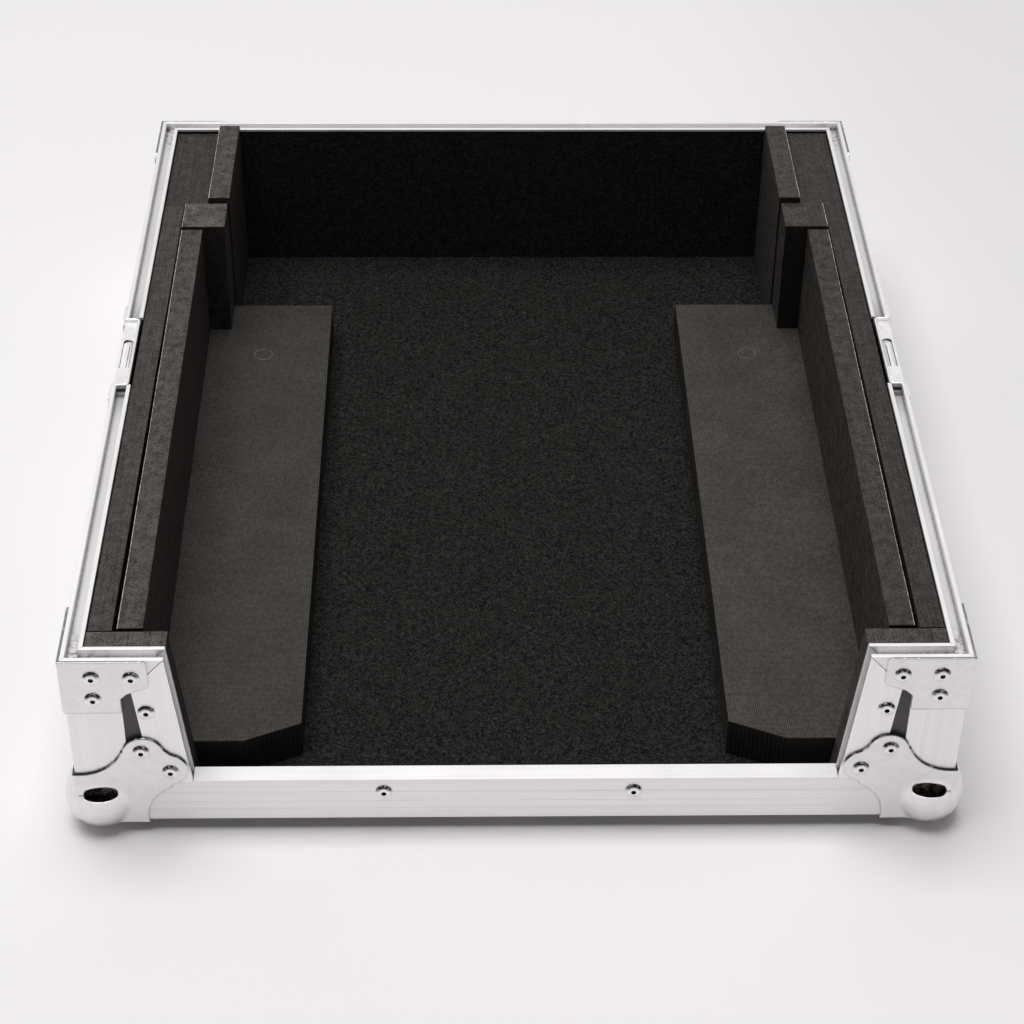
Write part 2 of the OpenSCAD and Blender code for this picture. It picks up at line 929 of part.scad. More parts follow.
module back_felt() {
    felt() block(
        [wall_in, case_d - lining_in, floor_z],
        [case_w - wall_in, case_d - wall_in, lining_top]
    );
}

module left_felt() { felt() side_lining(); }
module right_felt() { on_right() felt() side_lining(); }
module front_felt() {
    felt() front_sheet(lining_in, floor_z, foot_z - cap_leg_h, lip_t + fit, wall_in, lining_in);
}

module rim_left_front() { aluminium() rim_side_front(); }
module rim_left_rear() { aluminium() rim_side_rear(); }
module rim_right_front() { on_right() aluminium() rim_side_front(); }
module rim_right_rear() { on_right() aluminium() rim_side_rear(); }
module rim_back() { on_back() aluminium() rim_rear(); }
module rim_cheek_left() { aluminium() rim_cheek(); }
module rim_cheek_right() { on_right() aluminium() rim_cheek(); }
module slant_edge_left() { aluminium() slant_edge(); }
module slant_edge_right() { on_right() aluminium() slant_edge(); }
module sill_cap() { aluminium() sill_strip(); }

module corner_edge_front_left() { aluminium() corner_run(); }
module corner_edge_front_right() { on_right() aluminium() corner_run(); }
module corner_edge_back_left() { on_back() aluminium() corner_run(); }
module corner_edge_back_right() { on_back() on_right() aluminium() corner_run(); }
module bottom_edge_front() { aluminium() front_bottom_run(); }
module bottom_edge_back() { on_back() aluminium() back_bottom_run(); }
module bottom_edge_left() { aluminium() side_bottom_run(); }
module bottom_edge_right() { on_right() aluminium() side_bottom_run(); }

module ball_corner_front_left() { steel() ball_corner(); }
module ball_corner_front_right() { on_right() steel() ball_corner(); }
module ball_corner_back_left() { on_back() steel() ball_corner(); }
module ball_corner_back_right() { on_back() on_right() steel() ball_corner(); }
module corner_brace_front_left() { steel() corner_brace(); }
module corner_brace_front_right() { on_right() steel() corner_brace(); }
module corner_brace_back_left() { on_back() steel() corner_brace(); }
module corner_brace_back_right() { on_back() on_right() steel() corner_brace(); }
module latch_dish_left() { steel() latch_dish(); }
module latch_dish_right() { on_right() steel() latch_dish(); }
module latch_keeper_left() { steel() latch_keeper(); }
module latch_keeper_right() { on_right() steel() latch_keeper(); }

module front_block_left() { foam() front_foam(); }
module front_block_right() { on_right() foam() front_foam(); }
module side_strip_left() { foam() strip_foam(); }
module side_strip_right() { on_right() foam() strip_foam(); }
module side_pad_left() { foam() pad_foam(); }
module side_pad_right() { on_right() foam() pad_foam(); }
module post_left() { foam() post_foam(); }
module post_right() { on_right() foam() post_foam(); }
module rear_block_left() { foam() rear_foam(); }
module rear_block_right() { on_right() foam() rear_foam(); }
module rear_strip_left() { foam() rear_strip_foam(); }
module rear_strip_right() { on_right() foam() rear_strip_foam(); }
module riser_left() { foam() riser_foam(); }
module riser_right() { on_right() foam() riser_foam(); }

module front_rivets() { rivet_metal() front_rivet_set(); }
module back_rivets() { on_back() rivet_metal() back_rivet_set(); }
module left_rivets() { rivet_metal() side_rivet_set(); }
module right_rivets() { on_right() rivet_metal() side_rivet_set(); }
module bottom_rivets() { rivet_metal() bottom_rivet_set(); }

bottom_panel();
left_panel();
right_panel();
back_panel();
front_panel();
floor_felt();
back_felt();
left_felt();
right_felt();
front_felt();
rim_left_front();
rim_left_rear();
rim_right_front();
rim_right_rear();
rim_back();
rim_cheek_left();
rim_cheek_right();
slant_edge_left();
slant_edge_right();
sill_cap();
corner_edge_front_left();
corner_edge_front_right();
corner_edge_back_left();
corner_edge_back_right();
bottom_edge_front();
bottom_edge_back();
bottom_edge_left();
bottom_edge_right();
ball_corner_front_left();
ball_corner_front_right();
ball_corner_back_left();
ball_corner_back_right();
corner_brace_front_left();
corner_brace_front_right();
corner_brace_back_left();
corner_brace_back_right();
latch_dish_left();
latch_dish_right();
latch_keeper_left();
latch_keeper_right();
front_block_left();
front_block_right();
side_strip_left();
side_strip_right();
side_pad_left();
side_pad_right();
post_left();
post_right();
rear_block_left();
rear_block_right();
rear_strip_left();
rear_strip_right();
riser_left();
riser_right();
front_rivets();
back_rivets();
left_rivets();
right_rivets();
bottom_rivets();
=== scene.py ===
# Looks of the base half of a mixer flight case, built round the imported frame.
# Lengths are in metres unless a comment says millimetres.
import json
import math

import bmesh
import bpy
import numpy as np
import openvdb
from mathutils import Matrix, Vector

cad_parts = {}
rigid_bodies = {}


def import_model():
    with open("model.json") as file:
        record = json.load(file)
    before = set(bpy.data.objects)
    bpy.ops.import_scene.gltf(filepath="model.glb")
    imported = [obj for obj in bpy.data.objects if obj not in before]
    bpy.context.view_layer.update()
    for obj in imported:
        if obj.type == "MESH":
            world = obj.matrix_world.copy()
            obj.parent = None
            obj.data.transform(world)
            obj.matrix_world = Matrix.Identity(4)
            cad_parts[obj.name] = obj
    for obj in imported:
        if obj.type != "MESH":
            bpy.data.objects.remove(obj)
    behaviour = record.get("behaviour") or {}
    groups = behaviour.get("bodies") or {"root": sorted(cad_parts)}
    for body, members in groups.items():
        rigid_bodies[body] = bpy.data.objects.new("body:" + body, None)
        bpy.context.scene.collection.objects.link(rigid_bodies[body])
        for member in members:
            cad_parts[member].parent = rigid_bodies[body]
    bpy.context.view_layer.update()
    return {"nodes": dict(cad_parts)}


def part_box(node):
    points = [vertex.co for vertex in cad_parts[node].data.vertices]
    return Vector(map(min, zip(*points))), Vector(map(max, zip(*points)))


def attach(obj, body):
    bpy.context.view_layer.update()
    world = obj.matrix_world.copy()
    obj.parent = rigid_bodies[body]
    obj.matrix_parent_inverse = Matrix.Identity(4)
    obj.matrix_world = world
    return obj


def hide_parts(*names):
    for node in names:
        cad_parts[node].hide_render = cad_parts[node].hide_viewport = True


for stray in list(bpy.data.objects):
    bpy.data.objects.remove(stray)
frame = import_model()

MM = 0.001
CASE = "case"

# The case as the frame gives it
HALF_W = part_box("rim_right_front")[1].x
HALF_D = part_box("rim_back")[1].y
BASE_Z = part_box("bottom_edge_left")[0].z
RIM_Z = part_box("rim_back")[1].z


# Camera

# Place of the lens from the middle of the front face at the underside, and its turns in degrees
CAMERA_PLACE = (-0.02354, -0.80569, 0.81939)
CAMERA_YAW = -1.419
CAMERA_PITCH = 38.27
CAMERA_ROLL = 0.685
FOCAL_PIXELS = 2410.5
IMAGE_PIXELS = 1024
SENSOR = 36.0
NEAREST, FARTHEST = 0.05, 50


def make_camera():
    """The camera that took the photograph, as a plain pinhole."""
    turn = Matrix.Rotation(math.radians(CAMERA_YAW), 3, "Z")
    pitch = math.radians(CAMERA_PITCH)
    roll = math.radians(CAMERA_ROLL)
    right = turn @ Vector((1, 0, 0))
    ahead = turn @ Vector((0, math.cos(pitch), -math.sin(pitch)))
    up = turn @ Vector((0, math.sin(pitch), math.cos(pitch)))
    across = math.cos(roll) * right + math.sin(roll) * up
    upward = -math.sin(roll) * right + math.cos(roll) * up
    place = Vector(CAMERA_PLACE) + Vector((0, -HALF_D, BASE_Z))
    data = bpy.data.cameras.new("camera")
    data.sensor_width = SENSOR
    data.lens = SENSOR * FOCAL_PIXELS / IMAGE_PIXELS
    data.clip_start = NEAREST
    data.clip_end = FARTHEST
    camera = bpy.data.objects.new("camera", data)
    bpy.context.scene.collection.objects.link(camera)
    camera.matrix_world = Matrix.Translation(place) @ Matrix(
        (across, upward, -ahead)
    ).transposed().to_4x4()
    bpy.context.scene.camera = camera


make_camera()


# Materials

BLACK = (0.0, 0.0, 0.0)
# Raw or dirty metal and painted shade, where the mesh attribute of this name marks it
RAW_METAL_AND_SHADE = (0.012, 0.0115, 0.011)
RAW_AND_SHADE_MARK = "raw_and_shade_mark"
# Painted shade: how much darker the foam sides are that look forward or to the right
CUT_SIDE_SHADE = 0.75


def toned(colour, tone):
    """A colour made paler or darker by a factor."""
    return [c * tone for c in colour]


class Nodes:
    """A node tree, with short ways to add nodes and join them."""

    def __init__(self, tree):
        self.tree = tree

    def set(self, node, values):
        for key, value in values.items():
            if isinstance(value, bpy.types.NodeSocket):
                self.tree.links.new(value, node.inputs[key])
            else:
                node.inputs[key].default_value = value

    def add(self, kind, values=None, **settings):
        node = self.tree.nodes.new(kind)
        for key, value in settings.items():
            setattr(node, key, value)
        self.set(node, values or {})
        return node

    def maths(self, operation, a, b=0.0, c=0.0):
        """One sum on numbers or sockets."""
        node = self.add("ShaderNodeMath", operation=operation)
        self.set(node, {0: a, 1: b, 2: c})
        return node.outputs[0]

    def multiply(self, a, b):
        return self.maths("MULTIPLY", a, b)

    def ranged(self, value, low, high, out_low=0.0, out_high=1.0, smooth=False):
        """Maps a socket from one range to another, clamped at both ends."""
        node = self.add("ShaderNodeMapRange", {
            "Value": value, "From Min": low, "From Max": high, "To Min": out_low, "To Max": out_high
        })
        node.interpolation_type = "SMOOTHSTEP" if smooth else "LINEAR"
        return node.outputs["Result"]


class Finish(Nodes):
    """A material made of nodes round one Principled shader, in object space."""

    def __init__(self, name, colour, roughness, metallic=0.0, specular=0.5):
        self.material = bpy.data.materials.new(name)
        self.material.use_nodes = True
        super().__init__(self.material.node_tree)
        self.shader = self.tree.nodes["Principled BSDF"]
        coords = self.add("ShaderNodeTexCoord")
        self.place, self.facing = coords.outputs["Object"], coords.outputs["Normal"]
        self.set(self.shader, {
            "Base Color": (*colour, 1), "Roughness": roughness, "Metallic": metallic,
            "Specular IOR Level": specular,
        })

    def beyond(self, value, half):
        """How far a place lies beyond the nearer of two lines."""
        return self.maths("SUBTRACT", self.maths("ABSOLUTE", value), half)

    def inward(self, value, half):
        """How far a place lies in from the nearer of two outer faces."""
        return self.maths("SUBTRACT", half, self.maths("ABSOLUTE", value))

    def below_rim(self, z):
        return self.maths("SUBTRACT", RIM_Z, z)

    def noise(self, scale, detail=2.0, roughness=0.5, distortion=0.0):
        """Noise of one scale, or of a scale for each axis, in lines per metre."""
        place = self.place
        if isinstance(scale, (list, tuple)):
            values = {0: place, 1: scale}
            place = self.add("ShaderNodeVectorMath", values, operation="MULTIPLY").outputs[0]
            scale = 1.0
        node = self.add("ShaderNodeTexNoise", {
            "Vector": place, "Scale": scale, "Detail": detail, "Roughness": roughness,
            "Distortion": distortion,
        })
        return node.outputs["Fac"]

    def cells(self, scale):
        node = self.add("ShaderNodeTexVoronoi", {"Vector": self.place, "Scale": scale})
        return node.outputs["Distance"]

    def blend(self, share, a, b):
        """A colour between two colours or colour sockets."""
        a, b = (c if isinstance(c, bpy.types.NodeSocket) else (*c, 1) for c in (a, b))
        return self.add("ShaderNodeMix", {0: share, 6: a, 7: b}, data_type="RGBA").outputs[2]

    def shades(self, value, low, high, a, b):
        """A colour between two colours, as a socket goes from one value to another."""
        return self.blend(self.ranged(value, low, high), a, b)

    def spread(self, vector=None):
        """A vector as three numbers, along x, y and z; object space if none is given."""
        node = self.add("ShaderNodeSeparateXYZ", {"Vector": vector or self.place})
        return [node.outputs[axis] for axis in "XYZ"]

    def band(self, value, low, high, soft):
        """A mask that is 1 between two values and fades out past them."""
        return self.multiply(
            self.ranged(value, low - soft, low + soft), self.ranged(value, high + soft, high - soft)
        )

    def darkened(self, share, colour):
        return self.blend(share, colour, BLACK)

    def dark_sides(self, colour):
        """A foam colour with painted shade, much darker on the cut sides that look forward or to
        the right.
        """
        x, y, _ = self.spread(self.facing)
        ahead = self.ranged(y, -0.5, -0.9, 0.0, CUT_SIDE_SHADE)
        aside = self.ranged(x, 0.5, 0.9, 0.0, CUT_SIDE_SHADE)
        return self.darkened(self.maths("MAXIMUM", ahead, aside), colour)

    def marked(self, clean, patches):
        """A metal colour with raw metal and painted shade where the mesh is marked, broken up by
        patches.
        """
        marks = self.add("ShaderNodeAttribute", attribute_name=RAW_AND_SHADE_MARK).outputs["Fac"]
        return self.blend(self.multiply(marks, patches), clean, RAW_METAL_AND_SHADE)

    def paint(self, socket):
        self.tree.links.new(socket, self.shader.inputs["Base Color"])

    def rough(self, socket):
        self.tree.links.new(socket, self.shader.inputs["Roughness"])

    def bump(self, height, depth, strength=1.0, under=None):
        """Adds relief of the given depth in metres, on top of another relief."""
        values = {"Height": height, "Distance": depth, "Strength": strength}
        if under is not None:
            values["Normal"] = under
        relief = self.add("ShaderNodeBump", values).outputs["Normal"]
        self.set(self.shader, {"Normal": relief})
        return relief


# Groove of the rim profile: its outer wall, inner wall and floor
GROOVE_OUT = 2.0 * MM
GROOVE_IN = 7.4 * MM
GROOVE_FLOOR = 4.5 * MM
# Slant of the rim beside the front opening, and where it meets the rim
SLANT = math.atan(7.7 / 75)
CHEEK_TOP = 46.5 * MM
# Cut ends of the rim beside the latches
GAP_HALF = 31 * MM
# Balls on the lower corners
BALL_R = 17.5
BALL_INSET = BALL_R - BASE_Z / MM

ALUMINIUM_DARK = (0.88, 0.868, 0.875)
ALUMINIUM_LIGHT = (0.95, 0.94, 0.945)
ALUMINIUM_METALLIC = 0.75
# Painted shade down in the groove: these colours toned down, spots near the corners, and painted
# shadow and shade by the latches and the outer wall
GROOVE_PALE = (1.0, 0.985, 0.985)
GROOVE_DIM = (1.0, 0.985, 0.98)
CORNER_SPOTS = (0.2, 0.19, 0.18)
GAP_SHADOW_COLOUR = (0.02, 0.02, 0.02)
END_SHADE = (0.2, 0.195, 0.19)
WALL_SHADE = (0.03, 0.03, 0.03)
# Painted shade: how much darker the faces are that look straight up
TOP_SHADE = 0.14


def profile_places(finish, run, slanted):
    """How far a point lies in from the outer face, from the corner and below the top."""
    x, y, z = finish.spread()
    from_side = finish.inward(x, HALF_W)
    from_end = finish.inward(y, HALF_D)
    across, corner = (from_side, from_end) if run == "y" else (from_end, from_side)
    drop = finish.below_rim(z)
    if slanted:
        lean = finish.maths(
            "MULTIPLY_ADD", drop, math.tan(SLANT), finish.beyond(x, HALF_W - CHEEK_TOP)
        )
        drop = finish.multiply(lean, math.cos(SLANT))
    return across, corner, drop


def groove_shade(finish, run, across):
    """Mask of the darker strip along one wall of the groove."""
    if run == "y":
        return finish.ranged(across, GROOVE_OUT + 1.6 * MM, GROOVE_OUT + 0.2 * MM)
    middle = HALF_D - (GROOVE_OUT + GROOVE_IN) / 2
    half = (GROOVE_IN - GROOVE_OUT) / 2
    y = finish.spread()[1]
    offset = finish.maths("MULTIPLY_ADD", finish.maths("SIGN", y), -middle, y)
    return finish.ranged(offset, half - 1.2 * MM, half - 0.1 * MM)


def groove_shade_colour(finish, run, across, corner, blotches):
    """Colour down in the groove: painted shade, darker in spots near the corners, and painted
    shadow and shade by the latches.
    """
    dots = finish.noise(900, detail=1.0)
    # Painted shade: the groove is toned down, more on the runs along y, and darker still in a strip
    # along one wall.
    edge = finish.multiply(
        groove_shade(finish, run, across), finish.ranged(dots, 0.38, 0.55, 0.5, 1.0)
    )
    pale, dim = (0.73, 0.5) if run == "x" else (0.6, 0.34)
    shaded = finish.blend(edge, toned(GROOVE_PALE, pale), toned(GROOVE_DIM, dim))
    spotted = finish.shades(blotches, 0.47, 0.6, shaded, CORNER_SPOTS)
    shaded_groove = finish.shades(corner, 30 * MM, 9 * MM, shaded, spotted)
    if run != "y":
        return shaded_groove
    # Painted shadow by each latch: a near-black band just past the cut end, then painted shade
    # fading over the next 20 mm.
    from_gap = finish.beyond(finish.spread()[1], GAP_HALF)
    gap_shadow = finish.band(from_gap, 2.2 * MM, 5.6 * MM, 0.7 * MM)
    gap_shadowed = finish.blend(gap_shadow, shaded_groove, GAP_SHADOW_COLOUR)
    return finish.blend(finish.ranged(from_gap, 26 * MM, 6 * MM, 0.0, 0.55), gap_shadowed, END_SHADE)


def slanted_lip(finish, across, low, shaded_groove):
    """Colour of the slanted groove: painted shade by its outer wall, and painted light by its lip,
    which is pale and less mirroring.
    """
    lip_from, lip_to = GROOVE_IN - 1.2 * MM, GROOVE_IN - 0.8 * MM
    mirror = finish.ranged(across, lip_from, lip_to, ALUMINIUM_METALLIC, 0.35)
    finish.set(finish.shader, {"Metallic": mirror})
    near = finish.multiply(low, finish.ranged(across, 3.6 * MM, 2.8 * MM))
    pale = finish.shades(across, lip_from, lip_to, shaded_groove, ALUMINIUM_LIGHT)
    return finish.blend(near, pale, WALL_SHADE)


def inside_ball(finish):
    """Mask of what the balls cover."""
    x, y, z = finish.spread()
    place = finish.add("ShaderNodeCombineXYZ", {
        "X": finish.inward(x, HALF_W),
        "Y": finish.inward(y, HALF_D),
        "Z": finish.maths("SUBTRACT", z, BASE_Z),
    }).outputs[0]
    centre = [BALL_INSET * MM] * 3
    from_centre = finish.add("ShaderNodeVectorMath", {0: place, 1: centre}, operation="DISTANCE")
    return finish.ranged(from_centre.outputs["Value"], 16 * MM, 15.4 * MM)


def drawn_aluminium(name, run, tone, slanted=False):
    """Anodised extrusion with drawing lines along one axis, and painted shade on its upward faces,
    down in its groove and where the balls cover it.
    """
    finish = Finish(name, (0.84, 0.83, 0.836), 0.4, metallic=ALUMINIUM_METALLIC)
    fine, broad = [2600] * 3, [420] * 3
    axis = "xyz".index(run)
    fine[axis], broad[axis] = 9, 4
    lines = finish.noise(fine, detail=3.0, roughness=0.6)
    bands = finish.noise(broad)
    cloud = finish.noise(38, detail=3.0)
    blotches = finish.noise(300, detail=5.0, roughness=0.65)
    drawn = finish.maths("MULTIPLY_ADD", lines, 0.45, finish.multiply(bands, 0.55))
    plain = finish.shades(
        drawn, 0.35, 0.68, toned(ALUMINIUM_DARK, tone), toned(ALUMINIUM_LIGHT, tone)
    )
    # Painted shade: the faces that look up are painted darker.
    upward = finish.spread(finish.facing)[2]
    clean = finish.darkened(finish.ranged(upward, 0.6, 0.95, 0.0, TOP_SHADE), plain)
    across, corner, drop = profile_places(finish, run, slanted)
    # Painted shade: the groove below its lips gets the groove colours.
    inside = finish.band(across, GROOVE_OUT - 0.1 * MM, GROOVE_IN + 0.1 * MM, 0.1 * MM)
    low = finish.ranged(drop, 1.6 * MM, 3.9 * MM)
    above_floor = finish.ranged(drop, GROOVE_FLOOR + 1.2 * MM, GROOVE_FLOOR + 0.8 * MM)
    deep = finish.multiply(finish.multiply(inside, low), above_floor)
    shaded_groove = groove_shade_colour(finish, run, across, corner, blotches)
    if slanted:
        shaded_groove = slanted_lip(finish, across, low, shaded_groove)
    overlay = finish.blend(deep, clean, shaded_groove)
    # Painted shade: the metal that the balls cover is painted a mottled dark brown.
    covered = finish.shades(blotches, 0.44, 0.6, (0.04, 0.036, 0.032), (0.3, 0.27, 0.24))
    finish.paint(finish.blend(inside_ball(finish), overlay, covered))
    drawn_rough = finish.ranged(lines, 0.3, 0.7, 0.34, 0.43)
    finish.rough(finish.maths("ADD", drawn_rough, finish.ranged(cloud, 0.35, 0.7, 0.0, 0.08)))
    finish.bump(lines, 0.00002, 0.5)
    return finish.material


# Where a latch pocket is in shade: how deep in from the face it starts, and how far below the rim
POCKET_SHADE_START = (0.3 * MM, 1.2 * MM)
POCKET_SHADE_DROP = (2.6 * MM, 13 * MM)


def zinc_steel(name="zinc_steel", pocket=False):
    """Zinc-plated pressed steel with a soft mottle, dark cut edges of raw metal and painted shade,
    and painted shade down in a latch pocket if asked."""
    finish = Finish(name, (0.8, 0.79, 0.796), 0.34, metallic=0.9)
    mottle = finish.noise(210, detail=4.0, roughness=0.6)
    grain = finish.noise(3200)
    clean = finish.shades(mottle, 0.35, 0.68, (0.78, 0.769, 0.775), (0.845, 0.835, 0.84))
    if pocket:
        x, _, z = finish.spread()
        sunk = finish.ranged(finish.inward(x, HALF_W), *POCKET_SHADE_START)
        low = finish.band(finish.below_rim(z), *POCKET_SHADE_DROP, 0.4 * MM)
        clean = finish.blend(finish.multiply(sunk, low), clean, (0.04, 0.039, 0.038))
    finish.paint(finish.marked(clean, finish.ranged(mottle, 0.36, 0.46, 0.6, 1.0)))
    finish.rough(finish.ranged(mottle, 0.3, 0.7, 0.3, 0.4))
    finish.bump(grain, 0.00002, 0.35)
    return finish.material


def rivet_metal():
    """Aluminium of the rivet heads, with a satin skin."""
    finish = Finish("rivet_metal", (0.8, 0.79, 0.796), 0.4, metallic=1.0)
    grain = finish.noise(900, detail=3.0)
    clean = finish.shades(grain, 0.35, 0.65, (0.82, 0.81, 0.815), (0.88, 0.87, 0.875))
    finish.paint(finish.marked(clean, finish.ranged(grain, 0.4, 0.5, 0.75, 1.0)))
    finish.rough(finish.ranged(grain, 0.3, 0.7, 0.36, 0.44))
    finish.bump(grain, 0.00003, 0.3)
    return finish.material


def mandrel_and_hollow_shade():
    """Near-black steel deep in the rivets: the mandrel ends, darkened as painted shade, and painted
    shade on the walls of the hollows.
    """
    finish = Finish("mandrel_and_hollow_shade", (0.012, 0.012, 0.011), 0.7, specular=0.2)
    grain = finish.noise(2500, detail=3.0)
    finish.paint(finish.shades(grain, 0.35, 0.7, (0.006, 0.006, 0.006), (0.02, 0.019, 0.018)))
    finish.bump(grain, 0.0001, 0.5)
    return finish.material


def ball_inside():
    """Painted shade inside the balls: a dull, mottled brown-black."""
    finish = Finish("ball_inside", (0.03, 0.027, 0.024), 0.85, specular=0.1)
    mottle = finish.noise(420, detail=3.0, roughness=0.6)
    finish.paint(finish.shades(mottle, 0.4, 0.62, (0.03, 0.027, 0.024), (0.4, 0.36, 0.32)))
    finish.bump(mottle, 0.0003, 0.6)
    return finish.material


def board_laminate():
    """Dark grey laminate with a fine pebble, on the outer faces of the panels."""
    finish = Finish("board_laminate", (0.055, 0.052, 0.049), 0.42)
    pebble = finish.cells(1500)
    cloud = finish.noise(60, detail=4.0)
    finish.paint(finish.shades(cloud, 0.3, 0.7, (0.045, 0.0425, 0.04), (0.062, 0.0585, 0.0555)))
    finish.rough(finish.ranged(pebble, 0.1, 0.7, 0.36, 0.52))
    finish.bump(pebble, 0.00006, 0.6)
    return finish.material


def felt_lining():
    """Black needle felt: matted fibres with a few pale ones."""
    finish = Finish("felt_lining", (0.008, 0.0078, 0.0072), 0.95, specular=0.1)
    tufts = finish.noise(560, detail=3.0, roughness=0.7, distortion=1.2)
    fibres = finish.noise((1700, 620, 1300), detail=3.0, distortion=1.8)
    flecks = finish.noise(1150, detail=1.0, distortion=0.6)
    mixed = finish.maths("MULTIPLY_ADD", tufts, 0.6, finish.multiply(fibres, 0.4))
    dark = finish.shades(mixed, 0.45, 0.6, (0.0008, 0.0008, 0.0007), (0.0315, 0.0307, 0.0282))
    finish.paint(finish.blend(
        finish.ranged(flecks, 0.64, 0.75, smooth=True), dark, (0.036, 0.035, 0.032)
    ))
    finish.bump(mixed, 0.0008, 0.9)
    return finish.material


FOAM_GLOSS = (1.0, 0.93, 0.86, 1.0)


def cell_foam(name, dark, light, streak, tone):
    """Closed-cell black foam, knife-cut along its length, with pores, lint, pale dots and painted
    shade on its forward and right sides.
    """
    dark, light = toned(dark, tone), toned(light, tone)
    finish = Finish(name, dark, 0.62, specular=0.15)
    finish.set(finish.shader, {"Specular Tint": FOAM_GLOSS})
    pores = finish.noise(900, roughness=0.7)
    mottle = finish.noise(190, detail=4.0, roughness=0.62)
    cuts = finish.noise((900, 26, 900))
    mixed = finish.maths(
        "MULTIPLY_ADD", pores, 0.45,
        finish.maths("MULTIPLY_ADD", cuts, streak, finish.multiply(mottle, 0.55 - streak)),
    )
    plain = finish.shades(mixed, 0.4, 0.6, dark, light)
    dots = finish.ranged(finish.cells(520), 0.24, 0.12)
    chosen = finish.ranged(finish.noise(95, detail=3.0), 0.53, 0.6)
    dotted = finish.multiply(finish.multiply(dots, chosen), 0.55)
    finish.paint(finish.dark_sides(finish.blend(dotted, plain, (0.17, 0.163, 0.157))))
    finish.rough(finish.ranged(mottle, 0.3, 0.7, 0.55, 0.72))
    relief = finish.bump(pores, 0.00025, 0.55)
    finish.bump(cuts, 0.0002, 0.4, under=relief)
    return finish.material


def tape_edge():
    """Pale edge of the tape on the outer face of the loose foam pieces."""
    finish = Finish("tape_edge", (0.24, 0.23, 0.222), 0.6)
    patches = finish.noise((700, 260, 700), detail=3.0, roughness=0.6)
    finish.paint(finish.shades(patches, 0.36, 0.6, (0.11, 0.103, 0.098), (0.5, 0.48, 0.468)))
    finish.bump(patches, 0.0002, 0.4)
    return finish.material


RISER_PITCH = 1.25 * MM
# Ring marks left by the press near the back of each riser
RING_X = 139.3 * MM
RING_Y = 98.1 * MM
RING_R = 5.1 * MM


def riser_sheet_foam(name, tone):
    """Dense foam embossed with a fine diamond grid, with one faint ring mark near its back and
    painted shade on its forward and right sides.
    """
    finish = Finish(name, (0.03, 0.028, 0.026), 0.6, specular=0.17)
    finish.set(finish.shader, {"Specular Tint": FOAM_GLOSS})
    x, y, _ = finish.spread()
    turn = 2 * math.pi / RISER_PITCH / math.sqrt(2)
    waves = [
        finish.maths("SINE", finish.multiply(finish.maths(way, x, y), turn))
        for way in ("ADD", "SUBTRACT")
    ]
    grid = finish.maths("MULTIPLY_ADD", finish.multiply(*waves), 0.5, 0.5)
    cloud = finish.noise(45, detail=4.0)
    patches = finish.noise(420, detail=3.0, roughness=0.6)
    shade = finish.shades(cloud, 0.3, 0.7, (0.004, 0.0037, 0.0034), (0.01, 0.0092, 0.0085))
    pale = finish.shades(
        cloud, 0.3, 0.7, toned((0.064, 0.0592, 0.055), tone), toned((0.083, 0.0768, 0.0713), tone)
    )
    mixed = finish.maths("MULTIPLY_ADD", grid, 0.6, finish.multiply(patches, 0.5))
    plain = finish.shades(mixed, 0.4, 0.72, shade, pale)
    aside = finish.beyond(x, RING_X)
    behind = finish.maths("SUBTRACT", y, RING_Y)
    square = finish.maths("MULTIPLY_ADD", aside, aside, finish.multiply(behind, behind))
    radius = finish.maths("SQRT", square)
    ring = finish.band(radius, RING_R - 0.3 * MM, RING_R + 0.3 * MM, 0.15 * MM)
    overlay = finish.multiply(ring, finish.ranged(patches, 0.35, 0.6, 0.3, 0.85))
    finish.paint(finish.dark_sides(finish.blend(overlay, plain, (0.13, 0.123, 0.117))))
    relief = finish.bump(grid, 0.00016, 0.7)
    finish.bump(patches, 0.0002, 0.3, under=relief)
    return finish.material


# Each run is the same aluminium toned slightly paler or darker: painted light and shade for how
# each run is lit
ALUMINIUM = {
    run: drawn_aluminium(f"aluminium_{run}", run, tone)
    for run, tone in (("x", 0.945), ("y", 0.95), ("z", 1.0))
}
ALUMINIUM["slanted"] = drawn_aluminium("aluminium_slanted", "z", 1.02, slanted=True)
STEEL = zinc_steel()
POCKET_STEEL = zinc_steel("pocket_steel", pocket=True)
RIVET = rivet_metal()
MANDREL_AND_HOLLOW_SHADE = mandrel_and_hollow_shade()
BALL_INSIDE = ball_inside()
LAMINATE = board_laminate()
FELT = felt_lining()
# Name, dark and light colour and share of knife lines of the two foams
FOAM = ("cell_foam", (0.0135, 0.0122, 0.0111), (0.073, 0.067, 0.0617), 0.1)
OUTER_FOAM = ("outer_foam", (0.009, 0.0081, 0.0073), (0.058, 0.0532, 0.049), 0.2)
TAPE = tape_edge()


# Meshes and pieces

# Points nearer than this are one
WELD = 1e-6
AXES = Matrix.Identity(3)


def welded(data):
    """A mesh to work on, with its points joined."""
    made = bmesh.new()
    made.from_mesh(data)
    bmesh.ops.remove_doubles(made, verts=made.verts, dist=WELD)
    return made


def join_flats(made):
    """Joins the triangles of each flat face."""
    bmesh.ops.dissolve_limit(made, angle_limit=math.radians(1), verts=made.verts, edges=made.edges)
    made.normal_update()


def roll_edges(made, edges, radius):
    bmesh.ops.bevel(
        made, geom=edges, offset=radius, segments=3, profile=0.5, affect="EDGES",
        clamp_overlap=True,
    )


def make_piece(name, made, *materials, data=None):
    """A smooth-shaded object of a finished mesh, in the scene."""
    data = data or bpy.data.meshes.new(name)
    made.to_mesh(data)
    made.free()
    for material in materials:
        data.materials.append(material)
    for face in data.polygons:
        face.use_smooth = True
    piece = bpy.data.objects.new(name, data)
    bpy.context.scene.collection.objects.link(piece)
    return piece


